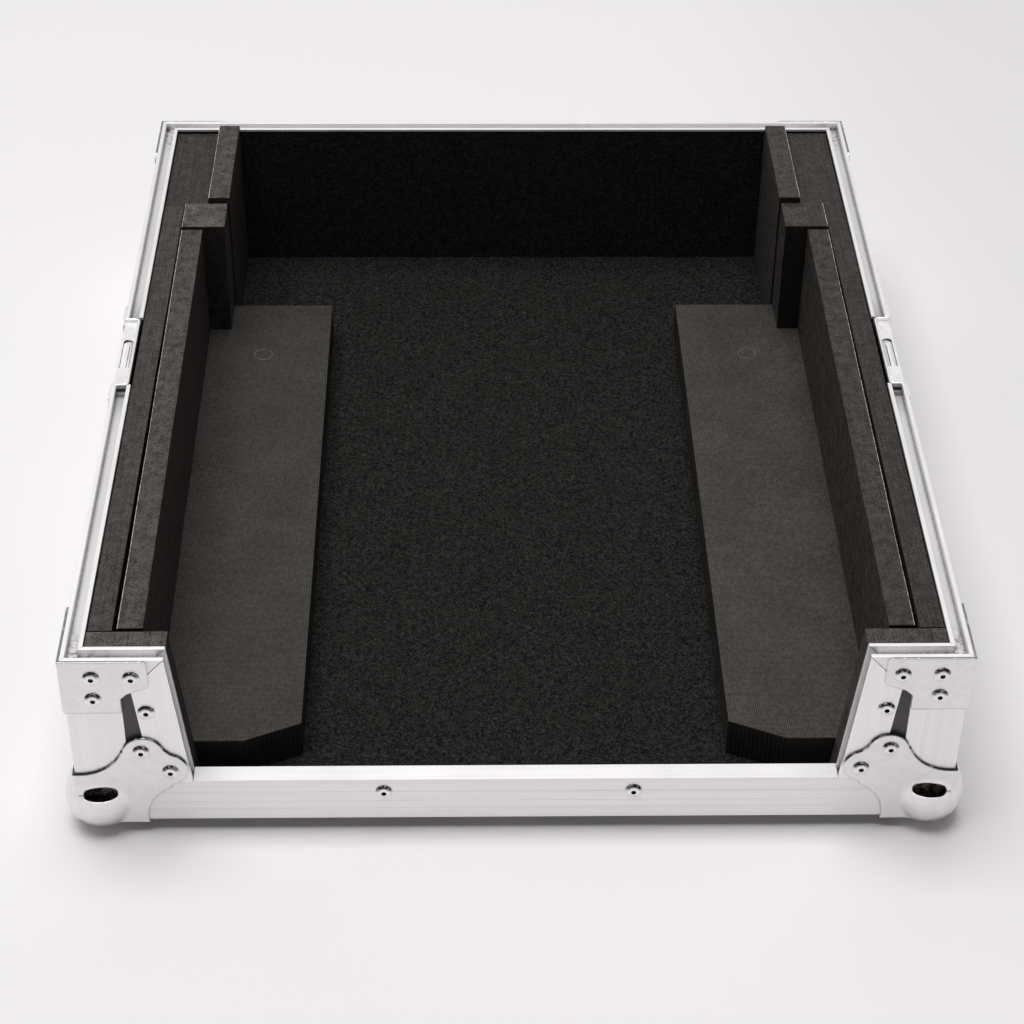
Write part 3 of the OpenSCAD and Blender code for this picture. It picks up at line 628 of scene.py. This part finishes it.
def modify(piece, name, kind, **settings):
    modifier = piece.modifiers.new(name, kind)
    for key, value in settings.items():
        setattr(modifier, key, value)


# Pieces of the frame that stay

BEVEL = 0.25 * MM
CREASE = math.radians(35)


def dress(node, material):
    """Gives a CAD node its finish and takes the hard edges off it."""
    piece = frame["nodes"][node]
    piece.data.materials.clear()
    piece.data.materials.append(material)
    modify(piece, "weld", "WELD", merge_threshold=WELD)
    modify(
        piece, "edge", "BEVEL", width=BEVEL, segments=2, limit_method="ANGLE", angle_limit=CREASE,
        use_clamp_overlap=True, miter_outer="MITER_ARC",
    )
    modify(piece, "normals", "WEIGHTED_NORMAL", keep_sharp=False, weight=60)
    for face in piece.data.polygons:
        face.use_smooth = True


for node in ("bottom_panel", "left_panel", "right_panel", "back_panel", "front_panel"):
    dress(node, LAMINATE)
for node in ("latch_keeper_left", "latch_keeper_right"):
    dress(node, POCKET_STEEL)


# Extruded profiles, with the long edges rolled over as drawn metal has them

SHORTEST_RUN = 8 * MM
# How wide the faces by an edge are at least, and how far it is rolled over
ROLLS = ((1.4 * MM, 0.5 * MM), (1.05 * MM, 0.3 * MM))


def long_edges(made, narrowest):
    """Sharp convex edges along the run of a profile whose faces are at least so wide."""
    chosen = []
    for edge in made.edges:
        length = edge.calc_length()
        if length < SHORTEST_RUN or len(edge.link_faces) != 2:
            continue
        if edge.calc_face_angle_signed(0) < CREASE:
            continue
        if min(face.calc_area() for face in edge.link_faces) / length > narrowest:
            chosen.append(edge)
    return chosen


def edged_profile(node, material):
    """A copy of a CAD profile with rolled long edges, in the place of the CAD node."""
    made = welded(frame["nodes"][node].data)
    bmesh.ops.recalc_face_normals(made, faces=made.faces)
    join_flats(made)
    for narrowest, roll in ROLLS:
        made.normal_update()
        roll_edges(made, long_edges(made, narrowest), roll)
    piece = make_piece(f"{node}_edged", made, material)
    modify(piece, "crisp", "EDGE_SPLIT", split_angle=CREASE)
    modify(piece, "normals", "WEIGHTED_NORMAL", keep_sharp=False)
    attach(piece, CASE)
    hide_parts(node)


RUNS = {
    "x": ["rim_cheek_left", "rim_cheek_right", "rim_back", "sill_cap", "bottom_edge_front",
          "bottom_edge_back"],
    "y": ["rim_left_front", "rim_left_rear", "rim_right_front", "rim_right_rear",
          "bottom_edge_left", "bottom_edge_right"],
    "z": ["corner_edge_front_left", "corner_edge_front_right", "corner_edge_back_left",
          "corner_edge_back_right"],
    "slanted": ["slant_edge_left", "slant_edge_right"],
}
for run, nodes in RUNS.items():
    for node in nodes:
        edged_profile(node, ALUMINIUM[run])


# Pressed steel parts, meshed from distance fields in millimetres


def soft_min(a, b, width):
    """The smaller of two fields, with a fillet of about the given width between them."""
    share = np.clip(0.5 + 0.5 * (b - a) / width, 0, 1)
    return b * (1 - share) + a * share - width * share * (1 - share)


def soft_max(a, b, width):
    return -soft_min(-a, -b, width)


def rounded_both(a, b, radius):
    """The overlap of two fields with its edge rounded."""
    a, b = a + radius, b + radius
    return np.minimum(np.maximum(a, b), 0) + np.hypot(np.maximum(a, 0), np.maximum(b, 0)) - radius


# Step of the grid that a field is sampled on, and of its slope, and the least slope that counts
FIELD_STEP = 0.55
SLOPE_REACH = 0.02
LEAST_SLOPE = 0.5


def field_points(field, low, high):
    """Points and quads on the zero surface of a field sampled over a box."""
    axes = [np.arange(a, b + FIELD_STEP, FIELD_STEP) for a, b in zip(low, high)]
    grid = openvdb.FloatGrid()
    grid.copyFromArray(field(*np.meshgrid(*axes, indexing="ij")).astype(np.float32))
    points, quads = grid.convertToQuads(0.0)
    points = points.astype(float) * FIELD_STEP + np.array(low, float)
    for _ in range(2):
        value = field(*points.T)
        slope = np.stack(
            [field(*(points + SLOPE_REACH * axis).T) - value for axis in np.eye(3)], axis=1
        ) / SLOPE_REACH
        steepness = np.maximum((slope ** 2).sum(1), LEAST_SLOPE ** 2)
        shift = slope * (value / steepness)[:, None]
        points -= np.clip(shift, -0.4 * FIELD_STEP, 0.4 * FIELD_STEP)
    return points, quads


def mesh_piece(name, points, quads, material):
    """A smooth-shaded mesh object from arrays in metres."""
    data = bpy.data.meshes.new(name)
    data.from_pydata(points.tolist(), [], quads.tolist())
    made = welded(data)
    bmesh.ops.recalc_face_normals(made, faces=made.faces)
    return make_piece(name, made, material, data=data)


def place_corner(points, side, end):
    """Corner coordinates in millimetres to the part's frame: side -1 is left, end -1 is front."""
    x, y, z = points.T * MM
    return np.stack([side * (HALF_W - x), end * (HALF_D - y), z + BASE_Z], axis=1)


# Sheet of the balls and braces, its cut edges and its bends
PLATE_T = 1.4
EDGE_ROUND = 1.0
BEND_ROUND = 1.2
# Gap between the pressed steel and the faces that it lies on
SHEET_GAP = 0.05
# Plates of a ball: reach from the corner, round lobes and the link between them, and the hollows
BALL_REACH = 45.0
LOBE_R = 9.8
LOBES = [(32.9, 43.3), (43.3, 32.9)]
LOBE_FILLET = 0.6
LINK_TURN = math.radians(15)
HOLLOW_R = 22.0
HOLLOWS = [(1.8, 52.2), (54.5, 1.8)]
HOLLOW_FILLET = 1.0
# How far from the corner the plates start, inside the ball, and the fillet between the two
PLATE_START = 3.0
BALL_FILLET = 1.4
# Slot of a ball: half its size, where its axis leaves the ball, its raised lip and its seam
SLOT_HALF_L = 7.8
SLOT_HALF_W = 3.3
SLOT_MEET = 11.0
SLOT_TILT = math.radians(55)
SLOT_SWING = math.radians(6)
SLOT_ROUND = 1.1
SLOT_FILLET = 0.5
SLOT_LIP = 0.15
LIP_AT, LIP_W = 0.7, 1.2
SEAM_END = 10.2


def pressed_sheets(faces, outline, edge_round):
    """Field of sheets that lie on several faces and meet in a bend; a face is the height over it
    and the two places along it."""
    slabs = [
        np.maximum(rounded_both(outline(u, v), -w - PLATE_T, edge_round), w) for w, u, v in faces
    ]
    near = [np.maximum(BEND_ROUND - (w + PLATE_T), 0) for w, _, _ in faces]
    bend = np.sqrt(sum(w ** 2 for w in near)) - BEND_ROUND
    return np.maximum(np.minimum.reduce(slabs), bend)


def plate_outline(u, v):
    """Field of the outline of one ball plate, from the case corner."""
    slant = (u + v - BALL_REACH - LOBES[0][0]) / math.sqrt(2)
    field = np.maximum(np.maximum(u, v) - BALL_REACH, slant)
    for a, b in HOLLOWS:
        field = soft_max(field, HOLLOW_R - np.hypot(u - a, v - b), HOLLOW_FILLET)
    for a, b in LOBES:
        field = soft_min(field, np.hypot(u - a, v - b) - LOBE_R, LOBE_FILLET)
    along, across = LOBES[0][1] - LOBES[0][0], sum(LOBES[0])
    out = LOBE_R * (math.sin(LINK_TURN) + math.cos(LINK_TURN))
    link = np.maximum(u + v - across - out, np.abs(u - v) - along) / math.sqrt(2)
    return soft_min(field, link, LOBE_FILLET)


def from_ball_centre(x, y, z):
    return np.sqrt(sum((w - BALL_INSET) ** 2 for w in (x, y, z)))


def slot_coords(x, y, z):
    """Places along, across and out along the axis of the slot that looks out of the ball."""
    out = (math.sin(SLOT_TILT) * math.sin(SLOT_SWING), -math.sin(SLOT_TILT) * math.cos(SLOT_SWING),
           math.cos(SLOT_TILT))
    wide = (math.cos(SLOT_SWING), math.sin(SLOT_SWING), 0.0)
    tall = np.cross(out, wide)
    rel = (x - BALL_INSET, y - BALL_INSET, z - BALL_INSET)
    return [sum(r * w for r, w in zip(rel, way)) for way in (wide, tall, out)]


def slot_field(x, y, z):
    """Field of the slot: two long arcs with blunt ends."""
    a, b, depth = slot_coords(x, y, z)
    radius = (SLOT_MEET ** 2 + SLOT_HALF_W ** 2) / (2 * SLOT_HALF_W)
    lens = np.hypot(a, np.abs(b) + radius - SLOT_HALF_W) - radius
    ends = np.hypot(a, b) - SLOT_HALF_L
    return np.where(depth > 0, rounded_both(lens, ends, SLOT_ROUND), 50.0)


def ball_field(x, y, z):
    """Field of a ball corner, from the case corner in millimetres."""
    sheets = pressed_sheets([(y, x, z), (x, y, z), (z, x, y)], plate_outline, EDGE_ROUND)
    sheets = np.maximum(sheets, PLATE_START - np.maximum(np.maximum(x, y), z))
    slot = slot_field(x, y, z)
    lip = SLOT_LIP * np.exp(-(((slot - LIP_AT) / LIP_W) ** 2))
    from_centre = from_ball_centre(x, y, z)
    field = soft_min(sheets, from_centre - BALL_R - lip, BALL_FILLET)
    field = np.maximum(field, BALL_R - PLATE_T - from_centre)
    field = soft_max(field, -slot, SLOT_FILLET)
    return np.maximum(field, np.minimum(np.minimum(x, y), z) + SHEET_GAP)


# Corner brace: its arm, its leg, the notch between them, its gap to the top and its dents
BRACE_ARM_L = 38.8
BRACE_ARM_H = 19.6
BRACE_END_H = 15.6
BRACE_H = 31.0
BRACE_LEG = 25.5
BRACE_NOTCH = 3.2
BRACE_TOP_GAP = 0.15
BRACE_ROUND = 0.3
BRACE_CORNER_R = 2.5
DENT_ROWS = (5.4, 23.0)
DENT_START, DENT_END = 0.6, 4.6
DENT_R = 1.2
DENT_DEPTH, DENT_END_DEPTH = 0.2, 0.4
DENT_FILLET = 0.4


def brace_outline(u, drop):
    """Field of one side of a brace: distance in from the edge, and drop below the rim."""
    fall = (BRACE_ARM_H - BRACE_END_H) / (BRACE_ARM_L - BRACE_LEG - BRACE_NOTCH)
    lower = (drop - BRACE_END_H - (BRACE_ARM_L - u) * fall) / math.hypot(1, fall)
    arm = np.maximum(np.maximum(u - BRACE_ARM_L, lower), drop - BRACE_ARM_H)
    past_end = np.maximum(u - BRACE_ARM_L + BRACE_CORNER_R, 0)
    past_top = np.maximum(BRACE_TOP_GAP + BRACE_CORNER_R - drop, 0)
    arm = np.maximum(arm, np.hypot(past_end, past_top) - BRACE_CORNER_R)
    leg = np.maximum(u - BRACE_LEG, drop - BRACE_H)
    notch = (u - BRACE_LEG + drop - BRACE_ARM_H - BRACE_NOTCH) / math.sqrt(2)
    corner = np.maximum(np.maximum(notch, u - BRACE_LEG - BRACE_NOTCH), BRACE_ARM_H - 1 - drop)
    both = np.minimum(np.minimum(arm, leg), np.maximum(corner, drop - BRACE_H))
    return np.maximum(both, BRACE_TOP_GAP - drop)


def brace_field(x, y, drop):
    """Field of a corner brace; drop is the depth below the rim in millimetres."""
    sheets = pressed_sheets([(y, x, drop), (x, y, drop)], brace_outline, BRACE_ROUND)
    out = PLATE_T + DENT_R
    for row in DENT_ROWS:
        for a, b in ((x, y), (y, x)):
            spots = [(np.clip(a, DENT_DEPTH - out, DENT_END), DENT_DEPTH)]
            spots += [(spot, DENT_END_DEPTH) for spot in (DENT_START, DENT_END)]
            dents = [
                np.sqrt((a - spot) ** 2 + (b + out - depth) ** 2 + (drop - row) ** 2) - DENT_R
                for spot, depth in spots
            ]
            sheets = soft_max(sheets, -np.minimum.reduce(dents), DENT_FILLET)
    return np.maximum(sheets, np.minimum(x, y) + SHEET_GAP)


def corner_coords(points, side, end):
    """Points of the part's frame as corner coordinates in millimetres."""
    x, y, z = points.T
    return (HALF_W - side * x) / MM, (HALF_D - end * y) / MM, (z - BASE_Z) / MM


def mark_vertices(piece, mark):
    piece.data.attributes.new(RAW_AND_SHADE_MARK, "FLOAT", "POINT").data.foreach_set("value", mark)


def darken_brace(piece):
    """Marks the upper edge of a brace with raw metal and painted shade that dulls its highlight, in
    a band 0.45 mm wide at most.
    """
    below_top = RIM_Z - BRACE_TOP_GAP * MM - np.array([v.co.z for v in piece.data.vertices])
    mark_vertices(piece, 0.75 * np.clip(1.3 - below_top / (0.35 * MM), 0, 1))


SLOPE_STEP = 0.1
# Faces nearer the ball's centre than this, in millimetres, get painted shade
INNER_SHADE_R = BALL_R - 0.8


def darken_ball(piece, side, end):
    """Paints shade inside a ball, and marks its upward cut edges (raw metal and painted shade), its
    slot's edge (painted shade) and its slot's seam.
    """
    points = np.array([v.co for v in piece.data.vertices])
    x, y, z = corner_coords(points, side, end)
    from_centre = from_ball_centre(x, y, z)
    along, across, out = slot_coords(x, y, z)
    seam = (np.abs(across) < 0.4) & (along < 0) & (along > -SEAM_END) & (out > 0)
    # Painted shade: the edge of the slot is marked dark so that the slot reads black; the seam is a
    # dark joint.
    marks = [0.6 * seam, np.clip((0.35 - slot_field(x, y, z)) / 0.3, 0, 1)]
    for w, u, v in ((y, x, z), (x, y, z)):
        on_plate = (np.abs(w + PLATE_T / 2) < PLATE_T / 2 + 0.3) & (from_centre > BALL_R + 1)
        outline = plate_outline(u, v)
        rise = (plate_outline(u, v + SLOPE_STEP) - outline) / SLOPE_STEP
        # Raw metal and painted shade: the cut edges that face up are marked most.
        upward = np.clip(rise * 3 - 0.5, 0.1, 1)
        marks.append(on_plate * upward * np.clip((outline + 0.75) / 0.4, 0, 1))
    mark_vertices(piece, np.maximum.reduce(marks))
    piece.data.materials.append(BALL_INSIDE)
    # Painted shade: the faces inside the ball get the dark ball_inside material.
    inside = from_centre < INNER_SHADE_R
    for face in piece.data.polygons:
        if all(inside[i] for i in face.vertices):
            face.material_index = 1


# Boxes round the steel parts of one corner, in corner coordinates
BALL_BOX = ([-BASE_Z / MM - 1.2] * 3, [54.0] * 3)
BRACE_BOX = ([-2.6, -2.6, -0.8], [41.5, 41.5, 32.0])


def pressed_corners():
    """Ball corners and braces on all four upright edges."""
    balls = field_points(ball_field, *BALL_BOX)
    braces = field_points(brace_field, *BRACE_BOX)
    braces[0][:, 2] = (RIM_Z - BASE_Z) / MM - braces[0][:, 2]
    for end, end_name in ((-1, "front"), (1, "back")):
        for side, side_name in ((-1, "left"), (1, "right")):
            for kind, (points, quads) in (("ball_corner", balls), ("corner_brace", braces)):
                node = f"{kind}_{end_name}_{side_name}"
                piece = mesh_piece(f"{node}_pressed", place_corner(points, side, end), quads, STEEL)
                if kind == "ball_corner":
                    darken_ball(piece, side, end)
                else:
                    darken_brace(piece)
                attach(piece, CASE)
                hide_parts(node)


pressed_corners()


# Latch dishes: sheet, flange and pocket, and the box round one

DISH_T = 1.2
DISH_FLANGE_L = 85.0
DISH_FLANGE_H = 55.0
DISH_POCKET_H = 45.0
DISH_HALF = 30.9
DISH_DEPTH = 8.2
DISH_BEND = 3.0
DISH_CORNER = 1.6
DISH_FLANGE_CORNER = 2.0
DISH_ROUND = 0.35
DISH_BOX = ([-2.4, -44.0, -0.8], [9.6, 44.0, 56.5])


def dish_field(x, y, drop):
    """Field of a latch dish: x in from the face, y from its middle, drop below the rim."""
    span = np.abs(y)
    pocket_walls = np.stack([
        span - DISH_HALF + DISH_T, drop - DISH_POCKET_H + DISH_T, x - DISH_DEPTH + DISH_T
    ])
    near = pocket_walls + DISH_CORNER
    outside = np.sqrt((np.maximum(near, 0) ** 2).sum(0)) - DISH_CORNER
    pocket = np.where(near.max(0) > 0, outside, pocket_walls.max(0))
    open_air = soft_min(x + DISH_T, pocket, DISH_BEND)
    sheet = np.maximum(-open_air, open_air - DISH_T)
    edges = (span - DISH_FLANGE_L / 2, drop - DISH_FLANGE_H)
    past = np.hypot(*(np.maximum(edge + DISH_FLANGE_CORNER, 0) for edge in edges))
    outline = np.maximum(np.maximum(*edges), past - DISH_FLANGE_CORNER)
    return rounded_both(sheet, np.maximum(outline, BRACE_TOP_GAP - drop), DISH_ROUND)


def latch_dishes():
    """Both latch dishes, drawn with soft bends."""
    points, quads = field_points(dish_field, *DISH_BOX)
    x, y, drop = points.T * MM
    low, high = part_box("latch_dish_left")
    y += (low.y + high.y) / 2
    for side, node in ((-1, "latch_dish_left"), (1, "latch_dish_right")):
        placed = np.stack([side * (HALF_W - x), y, RIM_Z - drop], axis=1)
        piece = mesh_piece(f"{node}_pressed", placed, quads, POCKET_STEEL)
        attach(piece, CASE)
        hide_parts(node)


latch_dishes()


# Rivets: head, and the hollow with the broken mandrel end

RIVET_HEAD = 8.0 * MM
RIVET_HEAD_H = 1.6 * MM
MANDREL_R = 1.19 * MM
MANDREL_H = 0.5 * MM
MANDREL_SINK = 2.2 * MM
# Dirt and painted shade on a head: its height, its soft edge, and how far up from the middle it
# starts
DIRT_AND_SHADE_H = 1.42 * MM
DIRT_AND_SHADE_EDGE = 0.2 * MM
DIRT_AND_SHADE_START = 0.3


def loose_parts(made):
    """Vertices of each separate solid of a mesh."""
    seen, parts = set(), []
    for start in list(made.verts):
        if start in seen:
            continue
        seen.add(start)
        members = [start]
        for vert in members:
            for edge in vert.link_edges:
                other = edge.other_vert(vert)
                if other not in seen:
                    seen.add(other)
                    members.append(other)
        parts.append(members)
    return parts


def outward_way(part):
    """Axis and sense of the head of one rivet."""
    low, high = part.min(0), part.max(0)
    middle = (low + high) / 2
    axis = int(np.argmax(np.abs(high - low - RIVET_HEAD)))
    from_axis = np.linalg.norm(np.delete(part - middle, axis, 1), axis=1)
    head = part[from_axis > 0.4 * RIVET_HEAD]
    return axis, 1 if head[:, axis].mean() > middle[axis] else -1


def faces_of(verts):
    return {face for vert in verts for face in vert.link_faces}


def clamped(value):
    return max(0.0, min(1.0, value))


def mark_dirt_and_shade(verts, dirt_and_shade, middle, axis, outward, crown):
    """Marks the upper half of a head, near where it sits, with dirt and painted shade; an upright
    rivet has none.
    """
    for vert in verts:
        height = RIVET_HEAD_H - outward * (crown - vert.co[axis])
        low = clamped((DIRT_AND_SHADE_H - height) / DIRT_AND_SHADE_EDGE)
        rise = clamped((vert.co.z - middle.z) / (0.2 * RIVET_HEAD) - DIRT_AND_SHADE_START)
        vert[dirt_and_shade] = low * rise if axis != 2 else 0.0


def add_mandrel(made, spot, way):
    """Adds the end of a mandrel, facing one way."""
    matrix = Matrix.Translation(spot) @ way.to_track_quat("Z", "Y").to_matrix().to_4x4()
    stub = bmesh.ops.create_cone(
        made, cap_ends=True, cap_tris=False, segments=20, radius1=MANDREL_R,
        radius2=MANDREL_R * 0.7, depth=MANDREL_H, matrix=matrix,
    )
    for face in faces_of(stub["verts"]):
        face.material_index = 1


def rivet_group(node):
    """A copy of one group of rivets: dirt and painted shade round the upper part of each head,
    painted shade in each hollow, and the broken mandrel end deep in it."""
    made = welded(frame["nodes"][node].data)
    dirt_and_shade = made.verts.layers.float.new(RAW_AND_SHADE_MARK)
    for verts in loose_parts(made):
        part = np.array([v.co for v in verts])
        middle = Vector((part.min(0) + part.max(0)) / 2)
        axis, outward = outward_way(part)
        crown = outward * (outward * part[:, axis]).max()
        mark_dirt_and_shade(verts, dirt_and_shade, middle, axis, outward, crown)
        # Painted shade: the walls of each hollow get the near-black material of the mandrel ends.
        for face in faces_of(verts):
            off = [vert.co - middle for vert in face.verts]
            if max(v.length_squared - v[axis] ** 2 for v in off) < (MANDREL_R + 0.05 * MM) ** 2:
                face.material_index = 1
        spot = middle.copy()
        spot[axis] = crown - outward * MANDREL_SINK
        add_mandrel(made, spot, outward * AXES[axis])
    piece = make_piece(f"{node}_set", made, RIVET, MANDREL_AND_HOLLOW_SHADE)
    modify(piece, "crisp", "EDGE_SPLIT", split_angle=CREASE)
    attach(piece, CASE)
    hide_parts(node)


for node in ("front_rivets", "back_rivets", "left_rivets", "right_rivets", "bottom_rivets"):
    rivet_group(node)


# Foam and felt


def everything(made):
    return made.verts[:] + made.edges[:] + made.faces[:]


def slice_grid(made, spacing):
    """Cuts a mesh into a grid so that its faces can move."""
    coords = np.array([v.co for v in made.verts])
    low, high = coords.min(0), coords.max(0)
    for axis in range(3):
        count = int((high[axis] - low[axis]) / spacing)
        for i in range(1, count + 1):
            where = Vector(low)
            where[axis] = low[axis] + (high[axis] - low[axis]) * i / (count + 1)
            bmesh.ops.bisect_plane(
                made, geom=everything(made), plane_co=where, plane_no=AXES[axis], dist=WELD
            )


def wobble(place, seed, wave):
    """A smooth uneven offset between about -1 and 1, from a few crossed waves."""
    total = 0.0
    for i, way in enumerate(((1.0, 0.35, 0.2), (-0.3, 1.0, 0.5), (0.45, -0.6, 1.0))):
        phase = seed * (1.7 + i) + i * 2.1
        total += math.sin(2 * math.pi / wave * (0.8 + 0.35 * i) * place.dot(Vector(way)) + phase)
    return total / 3


def keep_between(made, low, high):
    """Cuts a solid mesh to what lies between two planes across x, and closes the cuts."""
    for line, way in ((low, -1), (high, 1)):
        bmesh.ops.bisect_plane(
            made, geom=everything(made), plane_co=(line, 0, 0), plane_no=(way, 0, 0),
            clear_outer=True, dist=1e-7,
        )
        bmesh.ops.holes_fill(made, edges=[e for e in made.edges if e.is_boundary])


def bare_measures(made):
    """Size of a plain solid, and the area of its faces along each pair of axes."""
    coords = np.array([v.co for v in made.verts])
    areas = {
        pair: sum(f.calc_area() for f in made.faces if f.normal[axis] > 0.9)
        for axis, pair in enumerate(("yz", "xz", "xy"))
    }
    return {"size": coords.max(0) - coords.min(0), "areas": areas}


def soft_copy(name, node, edge, spacing, unevenness, wave, seed, between=None):
    """A softened solid in the place of a plain CAD solid, with rounded edges and slightly uneven
    faces, and the size and face areas of the plain solid."""
    made = welded(frame["nodes"][node].data)
    if between:
        keep_between(made, *between)
    join_flats(made)
    bare = bare_measures(made)
    roll_edges(made, made.edges[:], edge)
    slice_grid(made, spacing)
    made.normal_update()
    moves = [
        vert.normal * unevenness * (wobble(vert.co, seed, wave) - 1) / 2 for vert in made.verts
    ]
    for vert, move in zip(made.verts, moves):
        vert.co += move
    piece = make_piece(name, made)
    modify(piece, "normals", "WEIGHTED_NORMAL", keep_sharp=False)
    return piece, bare


# What counts as the top of a piece, and as its two ends, when the line of its tape is found
TAPE_DEPTH = 1.5 * MM
TAPE_ENDS = 6 * MM


def outer_edge_faces(piece, side, width):
    """Marks the faces along the outer top edge, which show the tape behind the foam."""
    coords = np.array([v.co for v in piece.data.vertices])
    top = coords[:, 2].max()
    upper = coords[coords[:, 2] > top - TAPE_DEPTH]
    front = upper[upper[:, 1] < upper[:, 1].min() + TAPE_ENDS]
    back = upper[upper[:, 1] > upper[:, 1].max() - TAPE_ENDS]
    y0, y1 = front[:, 1].mean(), back[:, 1].mean()
    x0, x1 = (side * max(side * part[:, 0]) for part in (front, back))
    for face in piece.data.polygons:
        centre = face.center
        line = x0 + (x1 - x0) * (centre.y - y0) / (y1 - y0)
        if abs(centre.x - line) < width and centre.z > top - width:
            face.material_index = 1


# Body, foam, how pale the left and right pieces are (painted light and shade for how each is lit),
# and width of the tape in millimetres
FOAM_KINDS = {
    "front_block": (None, OUTER_FOAM, (1.85, 1.4), 0.0),
    "side_strip": (None, OUTER_FOAM, (1.15, 0.8), 0.0),
    "side_pad": ("pad", FOAM, (1.12, 0.75), 1.0),
    "post": ("post", FOAM, (1.6, 0.75), 1.3),
    "rear_block": (None, OUTER_FOAM, (0.8, 0.8), 0.0),
    "rear_strip": ("rear_strip", FOAM, (1.15, 0.85), 1.2),
    "riser": (None, None, (0.82, 1.0), 0.0),
}


def foam_pieces():
    """Every foam block, in the place of its CAD solid."""
    seed = 0
    for kind, (body, look, tones, tape_width) in FOAM_KINDS.items():
        for side, side_name, tone in ((-1, "left", tones[0]), (1, "right", tones[1])):
            seed += 1
            node = f"{kind}_{side_name}"
            piece, _ = soft_copy(
                f"{node}_foam", node, edge=0.55 * MM, spacing=9 * MM, unevenness=0.35 * MM,
                wave=90 * MM, seed=seed,
            )
            # The tone is painted light and shade for how each piece is lit.
            if look:
                piece.data.materials.append(cell_foam(*look, tone))
            else:
                piece.data.materials.append(riser_sheet_foam(f"riser_foam_{side_name}", tone))
            if tape_width:
                piece.data.materials.append(TAPE)
                outer_edge_faces(piece, side, tape_width * MM)
            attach(piece, f"{side_name}_{body}" if body else CASE)
            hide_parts(node)


foam_pieces()

FELT_BOARDS = {
    "floor_felt": ("bottom_panel", "xy"),
    "back_felt": ("back_panel", "xz"),
    "left_felt": ("left_panel", "yz"),
    "right_felt": ("right_panel", "yz"),
}
CHEEK_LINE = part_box("sill_cap")[1].x


def felt_piece(name, node, seed, between=None):
    """One felt piece in the place of a felt node, or the part of it between two lines along x."""
    piece, bare = soft_copy(
        name, node, edge=0.25 * MM, spacing=7 * MM, unevenness=0.3 * MM, wave=26 * MM, seed=seed,
        between=between,
    )
    piece.data.materials.append(FELT)
    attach(piece, CASE)
    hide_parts(node)
    return piece, bare


def felt_sheets():
    """The felt lining: a sheet on each wall and the floor, and on the cut-down front two cheek
    pieces and the narrow strip between them."""
    for seed, (node, (board, across)) in enumerate(FELT_BOARDS.items()):
        felt_piece(f"{node}_sheet", node, seed + 40)
    cuts = {
        "front_felt_left": (-1, -CHEEK_LINE),
        "front_felt_right": (CHEEK_LINE, 1),
        "front_felt_strip": (-CHEEK_LINE, CHEEK_LINE),
    }
    left, right, strip = (
        felt_piece(name, "front_felt", seed + 50, between)
        for seed, (name, between) in enumerate(cuts.items())
    )


felt_sheets()


# Studio

FLOOR_SIZE = 30.0
FLOOR_COLOUR = (0.81, 0.793, 0.801)
# Painted shade: how much darker the floor is on the right, towards the back
FLOOR_FALL = 0.085


def make_floor():
    """A pale seamless floor under the case, with painted shade on its right towards the back."""
    half = FLOOR_SIZE / 2
    points = np.array([(-half, -half, 0), (half, -half, 0), (half, half, 0), (-half, half, 0)])
    finish = Finish("studio_floor", FLOOR_COLOUR, 0.9, specular=0.1)
    cloud = finish.noise(2.0)
    plain = finish.shades(cloud, 0.3, 0.7, toned(FLOOR_COLOUR, 0.995), FLOOR_COLOUR)
    x, y, _ = finish.spread()
    far = finish.multiply(finish.ranged(x, 0.1, 0.34, smooth=True), finish.ranged(y, -0.4, 0.0))
    finish.paint(finish.darkened(finish.multiply(far, FLOOR_FALL), plain))
    floor = mesh_piece("studio_floor", points, np.array([(0, 1, 2, 3)]), finish.material)


BACKDROP_WAY = Vector((-0.2, 0.82, 0.56)).normalized()
BACKDROP_COLOUR = (0.88, 0.865, 0.872, 1)
STUDIO_COLOUR = (1.0, 0.99, 0.995, 1)
# Strength of the light from the rest of the studio and from the backdrop
STUDIO_LEVELS = (0.1, 0.86)


def make_world():
    """A dim studio with a bright backdrop behind the case, plain to the camera and in mirrors."""
    world = bpy.data.worlds.new("studio")
    bpy.context.scene.world = world
    world.use_nodes = True
    world.node_tree.nodes.clear()
    nodes = Nodes(world.node_tree)
    place = nodes.add("ShaderNodeTexCoord").outputs["Generated"]
    toward = nodes.add("ShaderNodeVectorMath", {0: place, 1: BACKDROP_WAY}, operation="DOT_PRODUCT")
    level = nodes.ranged(toward.outputs["Value"], 0.68, 0.93, *STUDIO_LEVELS, smooth=True)
    light = nodes.add("ShaderNodeBackground", {"Color": STUDIO_COLOUR, "Strength": level})
    seen = nodes.add("ShaderNodeBackground", {"Color": BACKDROP_COLOUR, "Strength": 1.0})
    rays = nodes.add("ShaderNodeLightPath").outputs
    share = rays["Is Camera Ray"]
    for kind in ("Is Glossy Ray", "Is Transmission Ray"):
        share = nodes.maths("MAXIMUM", share, rays[kind])
    mix = nodes.add("ShaderNodeMixShader", {0: share, 1: light.outputs[0], 2: seen.outputs[0]})
    nodes.add("ShaderNodeOutputWorld", {"Surface": mix.outputs[0]})


LAMP_PLACE = Vector((-0.4, 0.0, 3.5))
LAMP_SIZE = 2.4
LAMP_POWER = 119


def soft_lamp():
    """A square soft box overhead, aimed at the middle of the case."""
    data = bpy.data.lights.new("overhead", "AREA")
    data.shape = "RECTANGLE"
    data.size = data.size_y = LAMP_SIZE
    data.energy = LAMP_POWER
    lamp = bpy.data.objects.new("overhead", data)
    lamp.location = LAMP_PLACE
    lamp.rotation_mode = "QUATERNION"
    lamp.rotation_quaternion = (-LAMP_PLACE).to_track_quat("-Z", "Y")
    bpy.context.scene.collection.objects.link(lamp)


make_floor()
make_world()
soft_lamp()
bpy.context.scene.view_settings.view_transform = "Standard"
